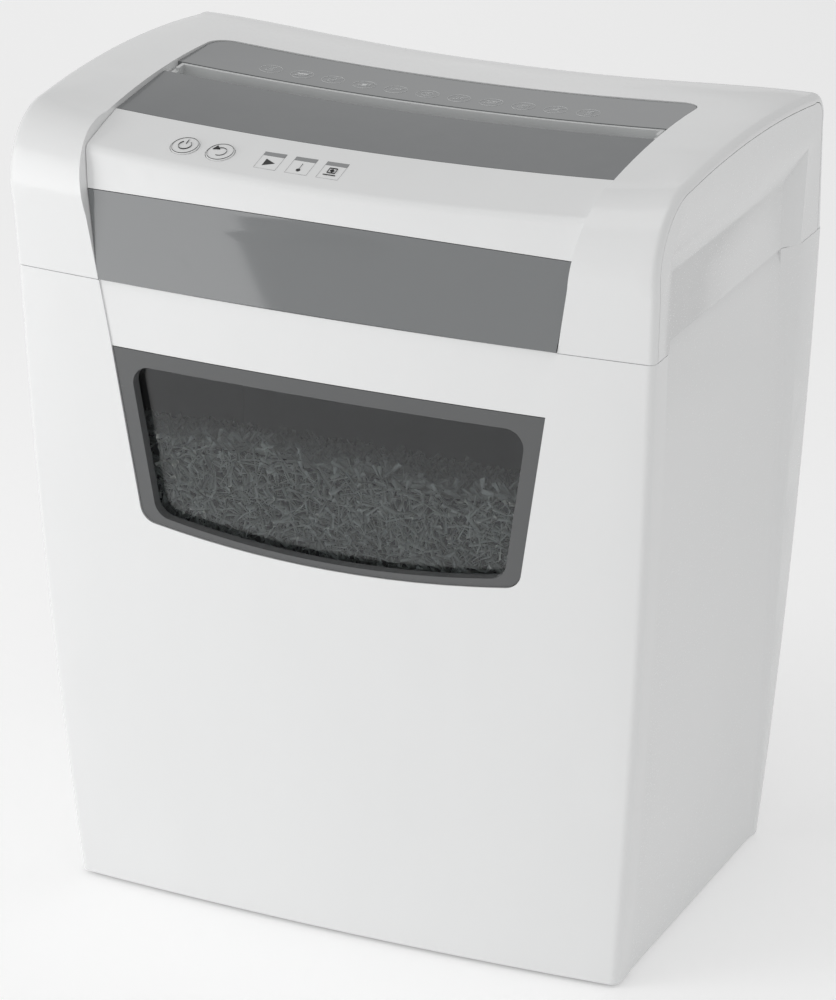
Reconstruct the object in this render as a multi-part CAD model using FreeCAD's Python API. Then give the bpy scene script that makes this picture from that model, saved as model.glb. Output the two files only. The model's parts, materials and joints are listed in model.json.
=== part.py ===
"""Paper shredder with a pull-out bin: head, cutting unit, drive, cabinet and bin.

Millimetres, +Z up, -Y is the front. The origin is on the floor under the middle of the overall box.
"""
import math
import os

import FreeCAD
import Part

V = FreeCAD.Vector

# ---- overall shape -------------------------------------------------------------------------------
SEAM_Z = 358.5           # joint between the cabinet and the head
HEIGHT = SEAM_Z + 87.5   # highest line of the shoulders
BASE_HALF = 160.2        # half width at the floor
SEAM_HALF = 180.0        # half width at the joint
TOP_HALF = 183.0         # half width at the top edge
SIDE_BULGE = 2.9         # how far the sides bulge between floor and joint
FRONT_Y = -121.5         # foremost line, at the joint
FRONT_BASE_Y = -105.5    # front at the floor, on the centre line
FRONT_BULGE = 1.7
REAR_Y = 121.5           # rearmost line, at the joint
REAR_BASE_Y = 105.4
REAR_BULGE = 1.5
BOW_R = 2130.0           # plan radius of the bowed front
FLOOR_GAP = 1.5          # cabinet edge above the floor

# ---- walls and clearances ------------------------------------------------------------------------
WALL = 3.0               # moulded shell walls
GAP = 0.4                # gap between neighbouring covers
PANEL_GAP = 0.35         # free play over the top edge of the bin front
SEAT = 0.3               # gap where one piece rests on another
RUN = 0.05               # radial clearance of a running fit
CORNER_R = 5.0           # vertical front corners
EDGE_R = 4.0             # edge between the shoulders and the sides

# ---- side recess ---------------------------------------------------------------------------------
RIM_DEPTH = 18.0         # front rim, measured back from the front corner
RECESS_BASE = 1.2        # recess depth at the floor
RECESS_SEAM = 6.5        # recess depth at the joint
REAR_STRIP_BASE_Y = 98.5
REAR_STRIP_SEAM_Y = 91.0
RECESS_SLANT = 13.0      # run of the slanted rear wall of the recess
LEDGE_H = 9.0            # chamfered band at the top of the cabinet recess
LEDGE_IN = 2.2
FLANGE_W = 14.0          # rear return of the side walls
HEAD_RECESS_TOP_Z = SEAM_Z + 49.5
RECESS_RUN = 14.0        # run of the slanted front wall of the head recess
RECESS_CHAMFER = 6.0     # widening of the recess at the skin

# ---- centre of the head (panel, band, plates) -----------------------------------------------------
CREASE_SEAM = 129.4      # half width of the centre at the joint
CREASE_BAND = 137.0      # half width at the top of the band
CREASE_TOP = 141.6       # half width on the top
CREASE_T = 2.0           # wall of the shoulders along the crease
CREASE_DEEP = 8.0        # its depth under the centre surface
CREASE_CURL = 15.0       # more than the shoulders stand above the centre
BAND_TOP_Z = SEAM_Z + 47.3
FOLD_Z = SEAM_Z + 63.3    # fold between the upright face and the control panel
FOLD_R = 6.0
PLATE_FRONT_Y = -72.0
SLOT_FRONT_Y = -19.0
SLOT_REAR_Y = -2.8
PLATE_REAR_Y = 42.9
PLATE_CORNER_R = 12.0
PLATE_T = 2.5
FRAME_T = 2.0
SHOULDER = {             # outer profile at the shoulder edge: y without the bow, and height above the joint
    "front": (-123.4, 34.5), "turn": (-114.0, 72.5), "brow": (-87.0, 84.5), "crown": (-15.0, HEIGHT - SEAM_Z),
    "back": (97.0, 79.9), "rear_turn": (111.0, 74.7), "rear": (115.4, 60.5)}
TOP_DIP = {              # how much lower the outside lies at the inner edge and on the centre line
    "brow": (5.4, 9.6), "crown": (1.6, 5.8), "back": (1.2, 6.6), "rear_turn": (1.2, 6.6), "rear": (0.8, 4.0)}
TURN_DROP = 0.55         # share of the brow's dip that the front turn takes
CENTRE = [               # centre line: y and height above the joint, and the change of both at the crease
    (FRONT_Y, 0.0, 3.4, 0.0), (-113.2, BAND_TOP_Z - SEAM_Z, 0.0, 0.0), (-110.1, FOLD_Z - SEAM_Z, 2.4, 5.0),
    (PLATE_FRONT_Y, 73.9, 0.0, 4.2), (SLOT_FRONT_Y, 79.7, 0.0, 4.2), (SLOT_REAR_Y, 80.5, 0.0, 4.2),
    (PLATE_REAR_Y, 79.7, 0.0, 5.2)]

# ---- window --------------------------------------------------------------------------------------
WIN_TOP_Z = SEAM_Z - 35.9
WIN_TOP_HALF = 123.1
WIN_LOW_Z = SEAM_Z - 132.0 # height of the lower corners
WIN_LOW_HALF = 108.5
WIN_SAG_Z = SEAM_Z - 140.6 # lowest point of the bottom arc
WIN_CORNER_R = 10.0
BEZEL_SIDE = 9.0
BEZEL_BOTTOM = 3.8
BEZEL_DEPTH = 3.0
BEZEL_SET = 0.8
PANE_T = 2.0
PANE_LAP = 4.0           # how far the pane reaches behind the frame
PANE_LAP_BOTTOM = 2.8
PANE_PLAY = 0.1          # gap between the frame and the pane
STRIP_INSET = 0.9        # the strip above the window lies this much deeper

# ---- bin and cabinet -----------------------------------------------------------------------------
PANEL_FOOT_Z = 2.5
TUB_FLOOR_Z = 9.0
TUB_RIM_Z = SEAM_Z - 28.5
TUB_WALL = 2.2
TUB_SIDE_GAP = 3.0       # free play between the tub and the cabinet walls
TUB_REAR_GAP = 6.0
TUB_INSET = 1.0          # the tub is this much narrower than its play alone asks
LIP_FRONT = 14.0         # the rim starts this far behind the front panel
LIP_W = 1.0
LIP_T = 3.0
BASE_T = 3.0
BASE_Z = 2.5
RUNNER_W = 10.0
RUNNER_X = 112.0
RUNNER_Y = 80.0
FOOT_R = 9.0
FOOT_PLUG_R = 6.0
FOOT_INSET = 30.0        # from the side of the base
FOOT_FRONT_Y = -72.0
FOOT_REAR_Y = 82.0
HEAP_FRONT_Z = SEAM_Z - 68.5 # top of the shreds behind the window
HEAP_REAR_Z = SEAM_Z - 178.5
HEAP_WALL = 2.5
HEAP_GAP = 0.5
HEAP_FRONT_GAP = 5.5     # room between the shreds and the front panel

SCREW_R = 3.4
SCREW_HEAD = 1.8
SCREW_SINK = 2.0         # depth of a counterbore
SCREW_SLOT = 0.9
SCREW_INSET = 26.0
SCREW_LOW_Z = 40.0
SCREW_HIGH_Z = SEAM_Z - 34.5

# ---- controls ------------------------------------------------------------------------------------
CONTROL_Y = -92.3
POWER_X = -90.5
BUTTON_R = 7.6
REVERSE_X = POWER_X + 2 * BUTTON_R + 5.1
BUTTON_GAP = 0.3
BUTTON_PROUD = 0.5
BUTTON_TRAVEL = 1.2
BUTTON_SKIRT = 4.0       # height of the cap under the panel surface
BUTTON_EDGE_R = 0.5
FLANGE_R = BUTTON_R + 2.2
FLANGE_T = 1.6
STEM_R = 3.0
STEM_DEEP = 13.0         # foot of the stem under the panel surface
STEM_L = 9.0
LENS_X = REVERSE_X + 28.5
LENS_PITCH = 17.65
LENS_COUNT = 3
LENS_W = 12.2
LENS_L = 3.2
LENS_Y = -86.2
LENS_T = 5.0
LENS_PROUD = 0.1
LENS_PLAY = 0.1
BOARD_DEEP = 15.5        # button board below the panel surface
BOARD_T = 1.6
BOARD_L = 110.0
BOARD_W = 22.0
BOARD_FRONT = 9.0        # board edge in front of the button line
BOSS_R = 2.2
BOSS_Y = 9.8
SWITCH_W = 6.0
SWITCH_H = 1.9

# ---- cutting unit --------------------------------------------------------------------------------
SHAFT_Z = SEAM_Z + 33.5
THROAT_Y = -11.0         # middle of the feed slot and of the cutting unit
SHAFT_PITCH = 36.0       # distance between the two cutter shafts
DISC_R = 20.0
DISC_T = 3.8
DISC_STEP = 8.0
DISC_COUNT = 28
DISC_TWIST = 13.0        # degrees from one disc to the next
TEETH = 4
TOOTH_DEEP = 3.4
TOOTH_SPREAD = 0.26      # radians
TOOTH_RAKE = 0.03
COMB_OUT = 24.0          # comb bar from its shaft
COMB_T = 4.0
COMB_HALF_H = 17.0
FINGER_T = 3.4
FINGER_HALF_H = 14.0
FINGER_OUT = 2.5
FINGER_CLEAR = 2.2       # between a finger and the hexagon
HEX_AF = 16.0
JOURNAL_R = 8.0
PLATE_X = 121.0          # inner face of the steel side plates
STEEL_T = 2.0
STEEL_TOP_Z = SEAM_Z + 65.5
STEEL_FRONT_Y = -62.0
EAR_Z = SEAM_Z + 72.8
EAR_REAR_Y = 40.0
EAR_REAR_GAP = 9.0       # from the slot to the rear ear
EAR_FRONT_GAP = 7.0
STEEL_REAR_Y = 108.0     # left plate, behind the gears
STEEL_CORNER = (99.0, SEAM_Z + 60.5)
STEEL_SHOULDER_Z = SEAM_Z + 45.5
ROD_HIGH_Z = SEAM_Z + 58.5
ROD_LOW_Z = SEAM_Z + 10.0
ROD_HIGH_OUT = 10.0
ROD_LOW_OUT = 28.0
JOURNAL_END = 5.0        # journal beyond the right plate
HEX_CLEAR = 2.5          # hexagon short of the plates
BUSH_R = 11.0
BUSH_IN = 1.8            # bush inside and outside its plate
BUSH_OUT = 0.5
TRAY_T = 3.0
TRAY_Z = SEAM_Z
CHUTE_Z = SEAM_Z - 8.5
CHUTE_WALL = 2.0
CHUTE_HALF = 117.0
CHUTE_FRONT_Y = -47.0
CHUTE_REAR_Y = 25.0
ROD_R = 4.0
THROAT_HALF = 115.0
THROAT_GAP = 5.2
THROAT_FOOT_Z = SEAM_Z + 55.5
THROAT_SLIM_H = 4.0      # straight part above the foot
THROAT_LIP = 2.0         # the front lip stays this far under the plates
THROAT_DEEP = 45.0
SENSOR_SLOT_HALF = 3.0   # slot of the sensor lever in the front wall
SENSOR_SLOT_H = 9.0
THROAT_WALL = 2.0
THROAT_END = 3.0         # funnel end short of the shoulder
THROAT_SHELF_Z = SEAM_Z + 70.5 # end shelves of the mouth, above the steel plates

# ---- gear train (module, teeth) ------------------------------------------------------------------
PRESSURE = math.radians(25.0)
ADDENDUM = 0.8
DEDENDUM = 1.1
BACKLASH = 0.16          # share of the module taken off each tooth
SYNC_M, SYNC_T = 1.5, 24
STAGE3_M, STAGE3_PINION, STAGE3_GEAR = 1.25, 12, 40
STAGE2_M, STAGE2_PINION, STAGE2_GEAR = 1.0, 12, 44
STAGE1_M, STAGE1_PINION, STAGE1_GEAR = 0.8, 12, 50
PIN_R = 3.0
MOTOR_Y = 86.0
MOTOR_Z = SEAM_Z + 37.5
GEAR2_Z = SEAM_Z + 43.5
P1 = (-PLATE_X - STEEL_T - 9.5, -PLATE_X - STEEL_T - 3.0) # gear layers, from the plate outwards
P2 = (P1[0] - 8.5, P1[0] - 1.5)
P3 = (P2[0] - 7.5, P2[0] - 1.5)
P4 = (P3[0] - 6.5, P3[0] - 1.5)
HUB = 2.0                # a compound gear's pinion overlaps its wheel's layer gap
GEAR_PLATE_X = P4[0] - 3.5
GEAR_PLATE_T = 1.5
GEAR_PLATE_FRONT = 22.0  # its edge in front of the front shaft
GEAR_PLATE_REAR_Y = 107.0
GEAR_PLATE_CORNER = (100.0, SEAM_Z + 60.5)
GEAR_PLATE_TOP_Z = SEAM_Z + 61.5
GEAR_POST_R = 3.0
GEAR_POST_FRONT_Y = THROAT_Y - SHAFT_PITCH / 2 - 17
GEAR_POSTS = [(100.5, SEAM_Z + 53.5), (100.5, SEAM_Z + 12.5), (GEAR_POST_FRONT_Y, SEAM_Z + 56.5),
              (GEAR_POST_FRONT_Y, SEAM_Z + 10.0)]

# ---- motor ---------------------------------------------------------------------------------------
MOTOR_R = 27.0
MOTOR_X0, MOTOR_X1 = -98.0, -14.0
MOTOR_WALL = 2.5
MOTOR_SHAFT_R = 2.5
MOTOR_CAP_T = 8.0
MOTOR_TAIL = 14.0        # shaft beyond the rear cap
MOTOR_POST_R = 20.0      # pitch radius of its three posts
MOTOR_STUD_R = 3.5
CAP_HOLES = 6
CAP_HOLE_R = 4.0
CAP_HOLE_PITCH_R = 16.0
CORE_R = 16.0
CORE_FRONT, CORE_REAR = 14.0, 16.0
COMMUTATOR_R = 9.0
COMMUTATOR_L = 9.0
COMMUTATOR_GAP = 4.0
FAN_L = 9.0
FAN_GAP = 3.0
FAN_HUB_R = 7.0
FAN_ROOT_R = 5.0
FAN_R = 23.0
FAN_BLADES = 9
FAN_BLADE_T = 1.4

# ---- sensor, interlock, electrics ----------------------------------------------------------------
LEVER_Y, LEVER_Z = -24.5, SEAM_Z + 65.5
LEVER_PIN_R = 1.2
LEVER_HUB_R = 3.2
LEVER_HALF = 2.0
LEVER_ARM = 15.4         # reach of the lever into the throat
LEVER_TAIL = 5.8
BRACKET_HALF = 7.0
BRACKET_INNER = 4.0
BRACKET_L = 12.4
BRACKET_TOP = 6.0        # above the hinge
SENSOR_SWITCH_L = 3.3
PLUNGER_Y = 60.0
PLUNGER_R = 3.0
PLUNGER_TOP = 14.0       # above the tray
COLLAR_W = 1.5
COLLAR_T = 2.5
LOCK_SWITCH_H = 16.0
LOCK_SWITCH_L = 10.0
LOCK_SWITCH_GAP = 6.0    # from the plunger's axis
SOCKET_SET = 0.6         # rear face of the pockets, in from the rearmost line
INLET_X, INLET_Z = 118.0, SEAM_Z + 19.5
INLET_HALF_W, INLET_HALF_H = 14.0, 10.0
INLET_DEEP = 26.0
INLET_SINK = 3.2         # face of the inlet inside the rear wall
SOCKET_HALF_W, SOCKET_HALF_H = 11.0, 7.0
SOCKET_DEEP = 18.0
SOCKET_R = 2.5
BLADES = ((0.0, 3.0), (-5.5, -2.0), (5.5, -2.0))
BLADE_HALF_W, BLADE_HALF_H = 1.0, 2.0
BLADE_L = 10.0
ROCKER_X = 84.0
ROCKER_HALF = 6.8
ROCKER_DEEP = 20.0
ROCKER_TILT = 8.0        # the rocker rests this far to one side of its middle
ROCKER_PIN_R = 1.6
ROCKER_PIN_HALF = 6.2
PIVOT_IN = 9.0
PADDLE_HALF = 4.8
PADDLE_HALF_H = 7.6
VENT_ROWS, VENT_COLUMNS = 5, 4
VENT_X, VENT_Z = -98.0, SEAM_Z + 19.5
VENT_PITCH_X, VENT_PITCH_Z = 26.0, 8.0
VENT_W, VENT_H = 20.0, 3.0
CONTROL_LIFT = 5.0       # control board above the tray
CONTROL_X0, CONTROL_X1 = 20.0, 108.0
CONTROL_W = 34.0
CONTROL_GAP = 7.0        # from the lower front tie rod
CONTROL_BOSS_R = 2.5

SHAFT_A_Y = THROAT_Y - SHAFT_PITCH / 2
SHAFT_B_Y = THROAT_Y + SHAFT_PITCH / 2
TRAY_TOP = TRAY_Z + TRAY_T
TRAY_FRONT = 12.0        # its front edge behind the bowed front
FIRST_A = -(DISC_COUNT - 1) * DISC_STEP / 2 - DISC_T / 2  # first disc of the front shaft
FIRST_B = FIRST_A + DISC_STEP / 2
PARTS = {}


# ---- shape rules ---------------------------------------------------------------------------------
def share(z):
    return z / SEAM_Z


def half_width(z):
    """Half width of the outside at height z."""
    if z > SEAM_Z:
        return SEAM_HALF + (TOP_HALF - SEAM_HALF) * (z - SEAM_Z) / (HEIGHT - SEAM_Z)
    t = share(z)
    return BASE_HALF + (SEAM_HALF - BASE_HALF) * t + SIDE_BULGE * 4 * t * (1 - t)


def bow(x):
    """How far the bowed front falls back at distance x from the centre."""
    return x * x / (2 * BOW_R)


def front_y(z, x=0.0):
    t = share(z)
    return FRONT_BASE_Y + (FRONT_Y - FRONT_BASE_Y) * t - FRONT_BULGE * 4 * t * (1 - t) + bow(x)


def rear_y(z):
    t = min(share(z), 1.0)
    return REAR_BASE_Y + (REAR_Y - REAR_BASE_Y) * t + REAR_BULGE * 4 * t * (1 - t)


def corner_y(z):
    return front_y(z, half_width(z))


def recess_depth(z):
    return RECESS_BASE + (RECESS_SEAM - RECESS_BASE) * share(z)


def strip_y(z):
    return REAR_STRIP_BASE_Y + (REAR_STRIP_SEAM_Y - REAR_STRIP_BASE_Y) * share(z)


# ---- solid helpers -------------------------------------------------------------------------------
def box(x0, x1, y0, y1, z0, z1):
    return Part.makeBox(x1 - x0, y1 - y0, z1 - z0, V(x0, y0, z0))


def rod(x0, x1, y, z, r):
    """Cylinder along X."""
    return Part.makeCylinder(r, x1 - x0, V(x0, y, z), V(1, 0, 0))


def post(x, y, z0, z1, r):
    """Cylinder along Z."""
    return Part.makeCylinder(r, z1 - z0, V(x, y, z0), V(0, 0, 1))


def face_of(points):
    return Part.Face(Part.makePolygon(points + [points[0]]))


def plate_yz(points, x0, x1):
    return face_of([V(x0, y, z) for y, z in points]).extrude(V(x1 - x0, 0, 0))


def plate_xz(points, y0, y1):
    return face_of([V(x, y0, z) for x, z in points]).extrude(V(0, y1 - y0, 0))


def hexagon(y, z, across, x0, x1):
    r = across / math.sqrt(3)
    angles = [math.radians(60 * step) for step in range(6)]
    corners = [(y + r * math.cos(a), z + r * math.sin(a)) for a in angles]
    return plate_yz(corners, x0, x1)


def loft(wires, ruled=False):
    return Part.makeLoft(wires, True, ruled)


def mirror(shape):
    return shape.mirror(V(0, 0, 0), V(1, 0, 0))


def group(shapes):
    return Part.makeCompound(shapes)


def joined(shapes):
    return shapes[0].fuse(shapes[1:]).removeSplitter()


def rounded(shape, edges, radius):
    return shape.makeFillet(radius, edges)


def edges_where(shape, test):
    """Edges whose middle point passes the test."""
    found = []
    for edge in shape.Edges:
        middle = edge.valueAt((edge.FirstParameter + edge.LastParameter) / 2)
        if test(middle, edge):
            found.append(edge)
    return found


def put(name, shape):
    PARTS[name] = shape


# ---- front surface -------------------------------------------------------------------------------
def front_arc(z, half, inset):
    side = V(half, front_y(z, half) + inset, z)
    middle = V(0, front_y(z) + inset, z)
    return Part.Arc(side, middle, V(-half, side.y, z)).toShape()


def front_layer(z_levels, inset, thickness, trim=0.0):
    """Sheet that follows the bowed, leaning front, inset from it, of one thickness."""
    wires = []
    for z in z_levels:
        half = half_width(z) - trim
        outer = front_arc(z, half, inset)
        inner = front_arc(z, half, inset + thickness)
        ends = [Part.makeLine(V(s * half, front_y(z, half) + inset, z),
                              V(s * half, front_y(z, half) + inset + thickness, z)) for s in (1, -1)]
        wires.append(Part.Wire(Part.__sortEdges__([outer, ends[1], inner, ends[0]])))
    return loft(wires)


def window_outline(side, top, bottom):
    """Closed outline of the window at y = 0, drawn in by the given amounts, corners rounded."""
    slope = (WIN_TOP_HALF - WIN_LOW_HALF) / (WIN_TOP_Z - WIN_LOW_Z)
    z_top = WIN_TOP_Z - top
    z_low = WIN_LOW_Z + bottom
    half_top = WIN_TOP_HALF - side - slope * top
    half_low = WIN_LOW_HALF - side + slope * bottom
    sag = V(0, 0, WIN_SAG_Z + bottom)
    right = Part.makeLine(V(half_top, 0, z_top), V(half_low, 0, z_low))
    low = Part.Arc(V(half_low, 0, z_low), sag, V(-half_low, 0, z_low)).toShape()
    left = Part.makeLine(V(-half_low, 0, z_low), V(-half_top, 0, z_top))
    upper = Part.makeLine(V(-half_top, 0, z_top), V(half_top, 0, z_top))
    return Part.Wire([right, low, left, upper])


def window_prism(side, top, bottom, low_r, top_r, y0, y1):
    wire = window_outline(side, top, bottom)
    wire.translate(V(0, y0, 0))
    solid = Part.Face(wire).extrude(V(0, y1 - y0, 0))
    z_half = (WIN_TOP_Z + WIN_LOW_Z) / 2
    low = edges_where(solid, lambda m, e: abs(m.y - (y0 + y1) / 2) < 1 and m.z < z_half)
    solid = rounded(solid, low, low_r)
    if top_r > 0:
        high = edges_where(solid, lambda m, e: abs(m.y - (y0 + y1) / 2) < 1 and m.z > z_half + 20)
        solid = rounded(solid, high, top_r)
    return solid


def crease_half(z):
    """Half width of the head's centre at height z."""
    if z < BAND_TOP_Z:
        return CREASE_SEAM + (CREASE_BAND - CREASE_SEAM) * (z - SEAM_Z) / (BAND_TOP_Z - SEAM_Z)
    return CREASE_TOP


def crease_prism(trim, y0, y1, z0):
    """Region between the two shoulders."""
    upper = EAR_Z + 1.7
    points = [(crease_half(z0) - trim, z0), (CREASE_BAND - trim, BAND_TOP_Z), (CREASE_TOP - trim, upper),
              (CREASE_TOP - trim, HEIGHT + 30)]
    outline = points + [(-x, z) for x, z in reversed(points)]
    solid = plate_xz(outline, y0, y1)
    rear = edges_where(solid, lambda m, e: abs(m.y - y1) < 0.01 and m.z > upper and abs(m.x) > 100)
    upright = [e for e in rear if abs(e.BoundBox.ZLength) > 5]
    return rounded(solid, upright, PLATE_CORNER_R - trim)


# ---- bin -----------------------------------------------------------------------------------------
def bin_front_panel():
    levels = (PANEL_FOOT_Z, SEAM_Z / 2, SEAM_Z - PANEL_GAP)
    wires = []
    for z in levels:
        half = half_width(z)
        rim = corner_y(z) + RIM_DEPTH
        inner_half = half - WALL
        outer = front_arc(z, half, 0)
        inner = front_arc(z, inner_half, WALL)
        corner = V(half, front_y(z, half), z)
        inner_corner = V(inner_half, front_y(z, inner_half) + WALL, z)
        edges = [outer, inner]
        for s in (1, -1):
            a = V(s * corner.x, corner.y, z)
            b = V(s * half, rim, z)
            c = V(s * inner_half, rim, z)
            d = V(s * inner_corner.x, inner_corner.y, z)
            edges += [Part.makeLine(a, b), Part.makeLine(b, c), Part.makeLine(c, d)]
        wires.append(Part.Wire(Part.__sortEdges__(edges)))
    panel = loft(wires)
    uprights = edges_where(panel, lambda m, e: m.y < corner_y(m.z) + 0.2 and abs(m.x) > half_width(m.z) - 0.5
                           and e.Length > 200)
    panel = rounded(panel, uprights, CORNER_R)
    strip = plate_xz([(crease_half(SEAM_Z), SEAM_Z + 1), (WIN_TOP_HALF, WIN_TOP_Z), (-WIN_TOP_HALF, WIN_TOP_Z),
                      (-crease_half(SEAM_Z), SEAM_Z + 1)], FRONT_Y - 5, 0)
    levels = (WIN_TOP_Z - 20, (WIN_TOP_Z + SEAM_Z) / 2, SEAM_Z + 2)
    panel = panel.cut(strip.cut(front_layer(levels, STRIP_INSET, 40.0)))
    return panel.cut(window_prism(0, 0, 0, WIN_CORNER_R, 0, FRONT_Y - 5, 0))


def window_levels():
    return (WIN_SAG_Z - 10, (WIN_SAG_Z + WIN_TOP_Z) / 2, WIN_TOP_Z + 10)


def window_frame():
    ring = window_prism(GAP, GAP, GAP, WIN_CORNER_R - GAP, 0, FRONT_Y - 5, 0)
    opening = window_prism(BEZEL_SIDE, BEZEL_SIDE, BEZEL_BOTTOM, WIN_CORNER_R, WIN_CORNER_R, FRONT_Y - 5, 0)
    layer = front_layer(window_levels(), BEZEL_SET, BEZEL_DEPTH + WALL)
    return ring.cut(opening).common(layer)


def window_pane():
    side = BEZEL_SIDE - PANE_LAP
    bottom = BEZEL_BOTTOM - PANE_LAP_BOTTOM
    plate = window_prism(side, side, bottom, WIN_CORNER_R, WIN_CORNER_R, FRONT_Y - 5, 0)
    inset = BEZEL_SET + BEZEL_DEPTH + WALL + PANE_PLAY
    return plate.common(front_layer(window_levels(), inset, PANE_T))


def tub_half(z):
    return half_width(z) - recess_depth(z) - WALL - TUB_SIDE_GAP - TUB_INSET


def tub_section(z, draw, front):
    half = tub_half(z) - draw
    rear = rear_y(z) - WALL - TUB_REAR_GAP - draw
    near = front_y(z, half) + WALL + SEAT + front
    return Part.makePolygon([V(half, near, z), V(half, rear, z), V(-half, rear, z), V(-half, near, z),
                             V(half, near, z)])


def bin_tub():
    middle = SEAM_Z / 2
    outer = loft([tub_section(z, 0, 0) for z in (TUB_FLOOR_Z, middle, TUB_RIM_Z)])
    floor = TUB_FLOOR_Z + TUB_WALL
    inner = loft([tub_section(z, TUB_WALL, -9.0) for z in (floor, middle, TUB_RIM_Z + 1)])
    tub = outer.cut(inner)
    lip = loft([tub_section(z, -LIP_W, LIP_FRONT) for z in (TUB_RIM_Z - LIP_T, TUB_RIM_Z)], True)
    return tub.fuse(lip.cut(inner)).cut(front_layer((1.0, SEAM_Z / 2, TUB_RIM_Z + 5), -5, 5 + WALL + SEAT))


def heap(draw):
    """Fill of the tub, drawn in by an amount, under a top that falls towards the rear."""
    floor = TUB_FLOOR_Z + TUB_WALL + SEAT

    def ring(z):
        return tub_section(z, TUB_WALL + HEAP_GAP + draw, TUB_WALL + HEAP_FRONT_GAP + draw)
    body = loft([ring(z) for z in (floor - draw, SEAM_Z / 2, HEAP_FRONT_Z)])
    above = [(FRONT_Y, HEAP_FRONT_Z - draw), (REAR_Y, HEAP_REAR_Z - draw), (REAR_Y, SEAM_Z), (FRONT_Y, SEAM_Z)]
    return body.cut(plate_yz(above, -SEAM_HALF, SEAM_HALF))


def shredded_paper():
    """Heap of shreds: a thin-walled mound that stands on the bin floor."""
    return heap(0).cut(heap(HEAP_WALL))


# ---- cabinet -------------------------------------------------------------------------------------
def at_rear_corner(place):
    """Whether a place lies on the outer rear corner of a side wall."""
    return place.y > rear_y(place.z) - SEAT and place.x > half_width(place.z) - SEAT


def cabinet_side_wall():
    levels = (FLOOR_GAP, SEAM_Z / 2, SEAM_Z - SEAT)
    wires = []
    for z in levels:
        w = half_width(z)
        d = recess_depth(z)
        front = corner_y(z) + RIM_DEPTH + GAP
        strip = strip_y(z)
        foot = strip - RECESS_SLANT * d / RECESS_SEAM
        rear = rear_y(z)
        flange = w - FLANGE_W
        points = [(w - d, front), (w - d, foot), (w, strip), (w, rear), (flange, rear), (flange, rear - WALL),
                  (w - WALL, rear - WALL), (w - WALL, strip + 0.5), (w - d - WALL, foot + 0.5),
                  (w - d - WALL, front)]
        wires.append(Part.makePolygon([V(x, y, z) for x, y in points + [points[0]]]))
    wall = loft(wires)
    corner = edges_where(wall, lambda m, e: e.Length > SEAM_Z / 2 and at_rear_corner(m))
    wall = rounded(wall, corner, WALL - 0.2)
    top = SEAM_Z - SEAT
    w = half_width(top) - recess_depth(top)
    wedge = plate_xz([(w + 1, top - LEDGE_H), (w, top - LEDGE_H), (w - LEDGE_IN, top + 1), (w + 1, top + 1)],
                     corner_y(top), strip_y(top) - RECESS_SLANT - 0.5)
    return wall.cut(wedge)


def cabinet_rear_panel():
    wires = []
    for z in (FLOOR_GAP, SEAM_Z / 2, SEAM_Z - SEAT):
        half = half_width(z) - FLANGE_W - GAP
        y = rear_y(z)
        wires.append(Part.makePolygon([V(half, y, z), V(-half, y, z), V(-half, y - WALL, z), V(half, y - WALL, z),
                                       V(half, y, z)]))
    panel = loft(wires)
    for place in rear_screw_places():
        panel = panel.cut(screw_hole(place).fuse(screw_hole(place + V(0, SCREW_SINK - 0.1, 0))))
    return panel


def rear_screw_places():
    """Head centres of the screws that hold the rear panel."""
    places = []
    for x in (-1, 1):
        for z in (SCREW_LOW_Z, SCREW_HIGH_Z):
            places.append(V(x * (half_width(z) - SCREW_INSET), rear_y(z), z))
    return places


def screw_hole(place):
    return Part.makeCylinder(SCREW_R + GAP, SCREW_SINK, place - V(0, SCREW_SINK, 0), V(0, 1, 0))


def rear_screws():
    """Pan-head screws with a cross slot, each seated in its counterbore."""
    items = []
    for place in rear_screw_places():
        head = Part.makeCylinder(SCREW_R, SCREW_HEAD, place - V(0, SCREW_SINK, 0), V(0, 1, 0))
        for wide, tall in ((SCREW_R, SCREW_SLOT), (SCREW_SLOT, SCREW_R)):
            corner = place - V(wide / 2, SCREW_SINK - SCREW_HEAD + SCREW_SLOT, tall / 2)
            slot = Part.makeBox(wide, SCREW_SLOT, tall, corner)
            head = head.cut(slot)
        items.append(head)
    return group(items)


def cabinet_base():
    z0 = BASE_Z
    z1 = BASE_Z + BASE_T
    half = half_width(z0) - recess_depth(z0) - WALL - SEAT
    near = corner_y(0) + RIM_DEPTH + GAP
    far = rear_y(0) - WALL - SEAT
    plate = box(-half, half, near, far, z0, z1)
    for x, y in foot_places():
        plate = plate.cut(post(x, y, 0, z1 + 1, FOOT_PLUG_R))
    return plate


def foot_places():
    x = BASE_HALF - FOOT_INSET
    return [(side * x, y) for y in (FOOT_FRONT_Y, FOOT_REAR_Y) for side in (1, -1)]


def feet():
    pads = []
    for x, y in foot_places():
        pad = post(x, y, 0, BASE_Z - 0.1, FOOT_R)
        plug = post(x, y, 0, BASE_Z + BASE_T, FOOT_PLUG_R - 0.1)
        pads.append(pad.fuse(plug).removeSplitter())
    return group(pads)


def bin_runners():
    """Two rails on the base that carry the bin."""
    half = RUNNER_W / 2
    top = TUB_FLOOR_Z - SEAT
    foot = BASE_Z + BASE_T
    return group([box(x - half, x + half, -RUNNER_Y, RUNNER_Y, foot, top) for x in (-RUNNER_X, RUNNER_X)])


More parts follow.
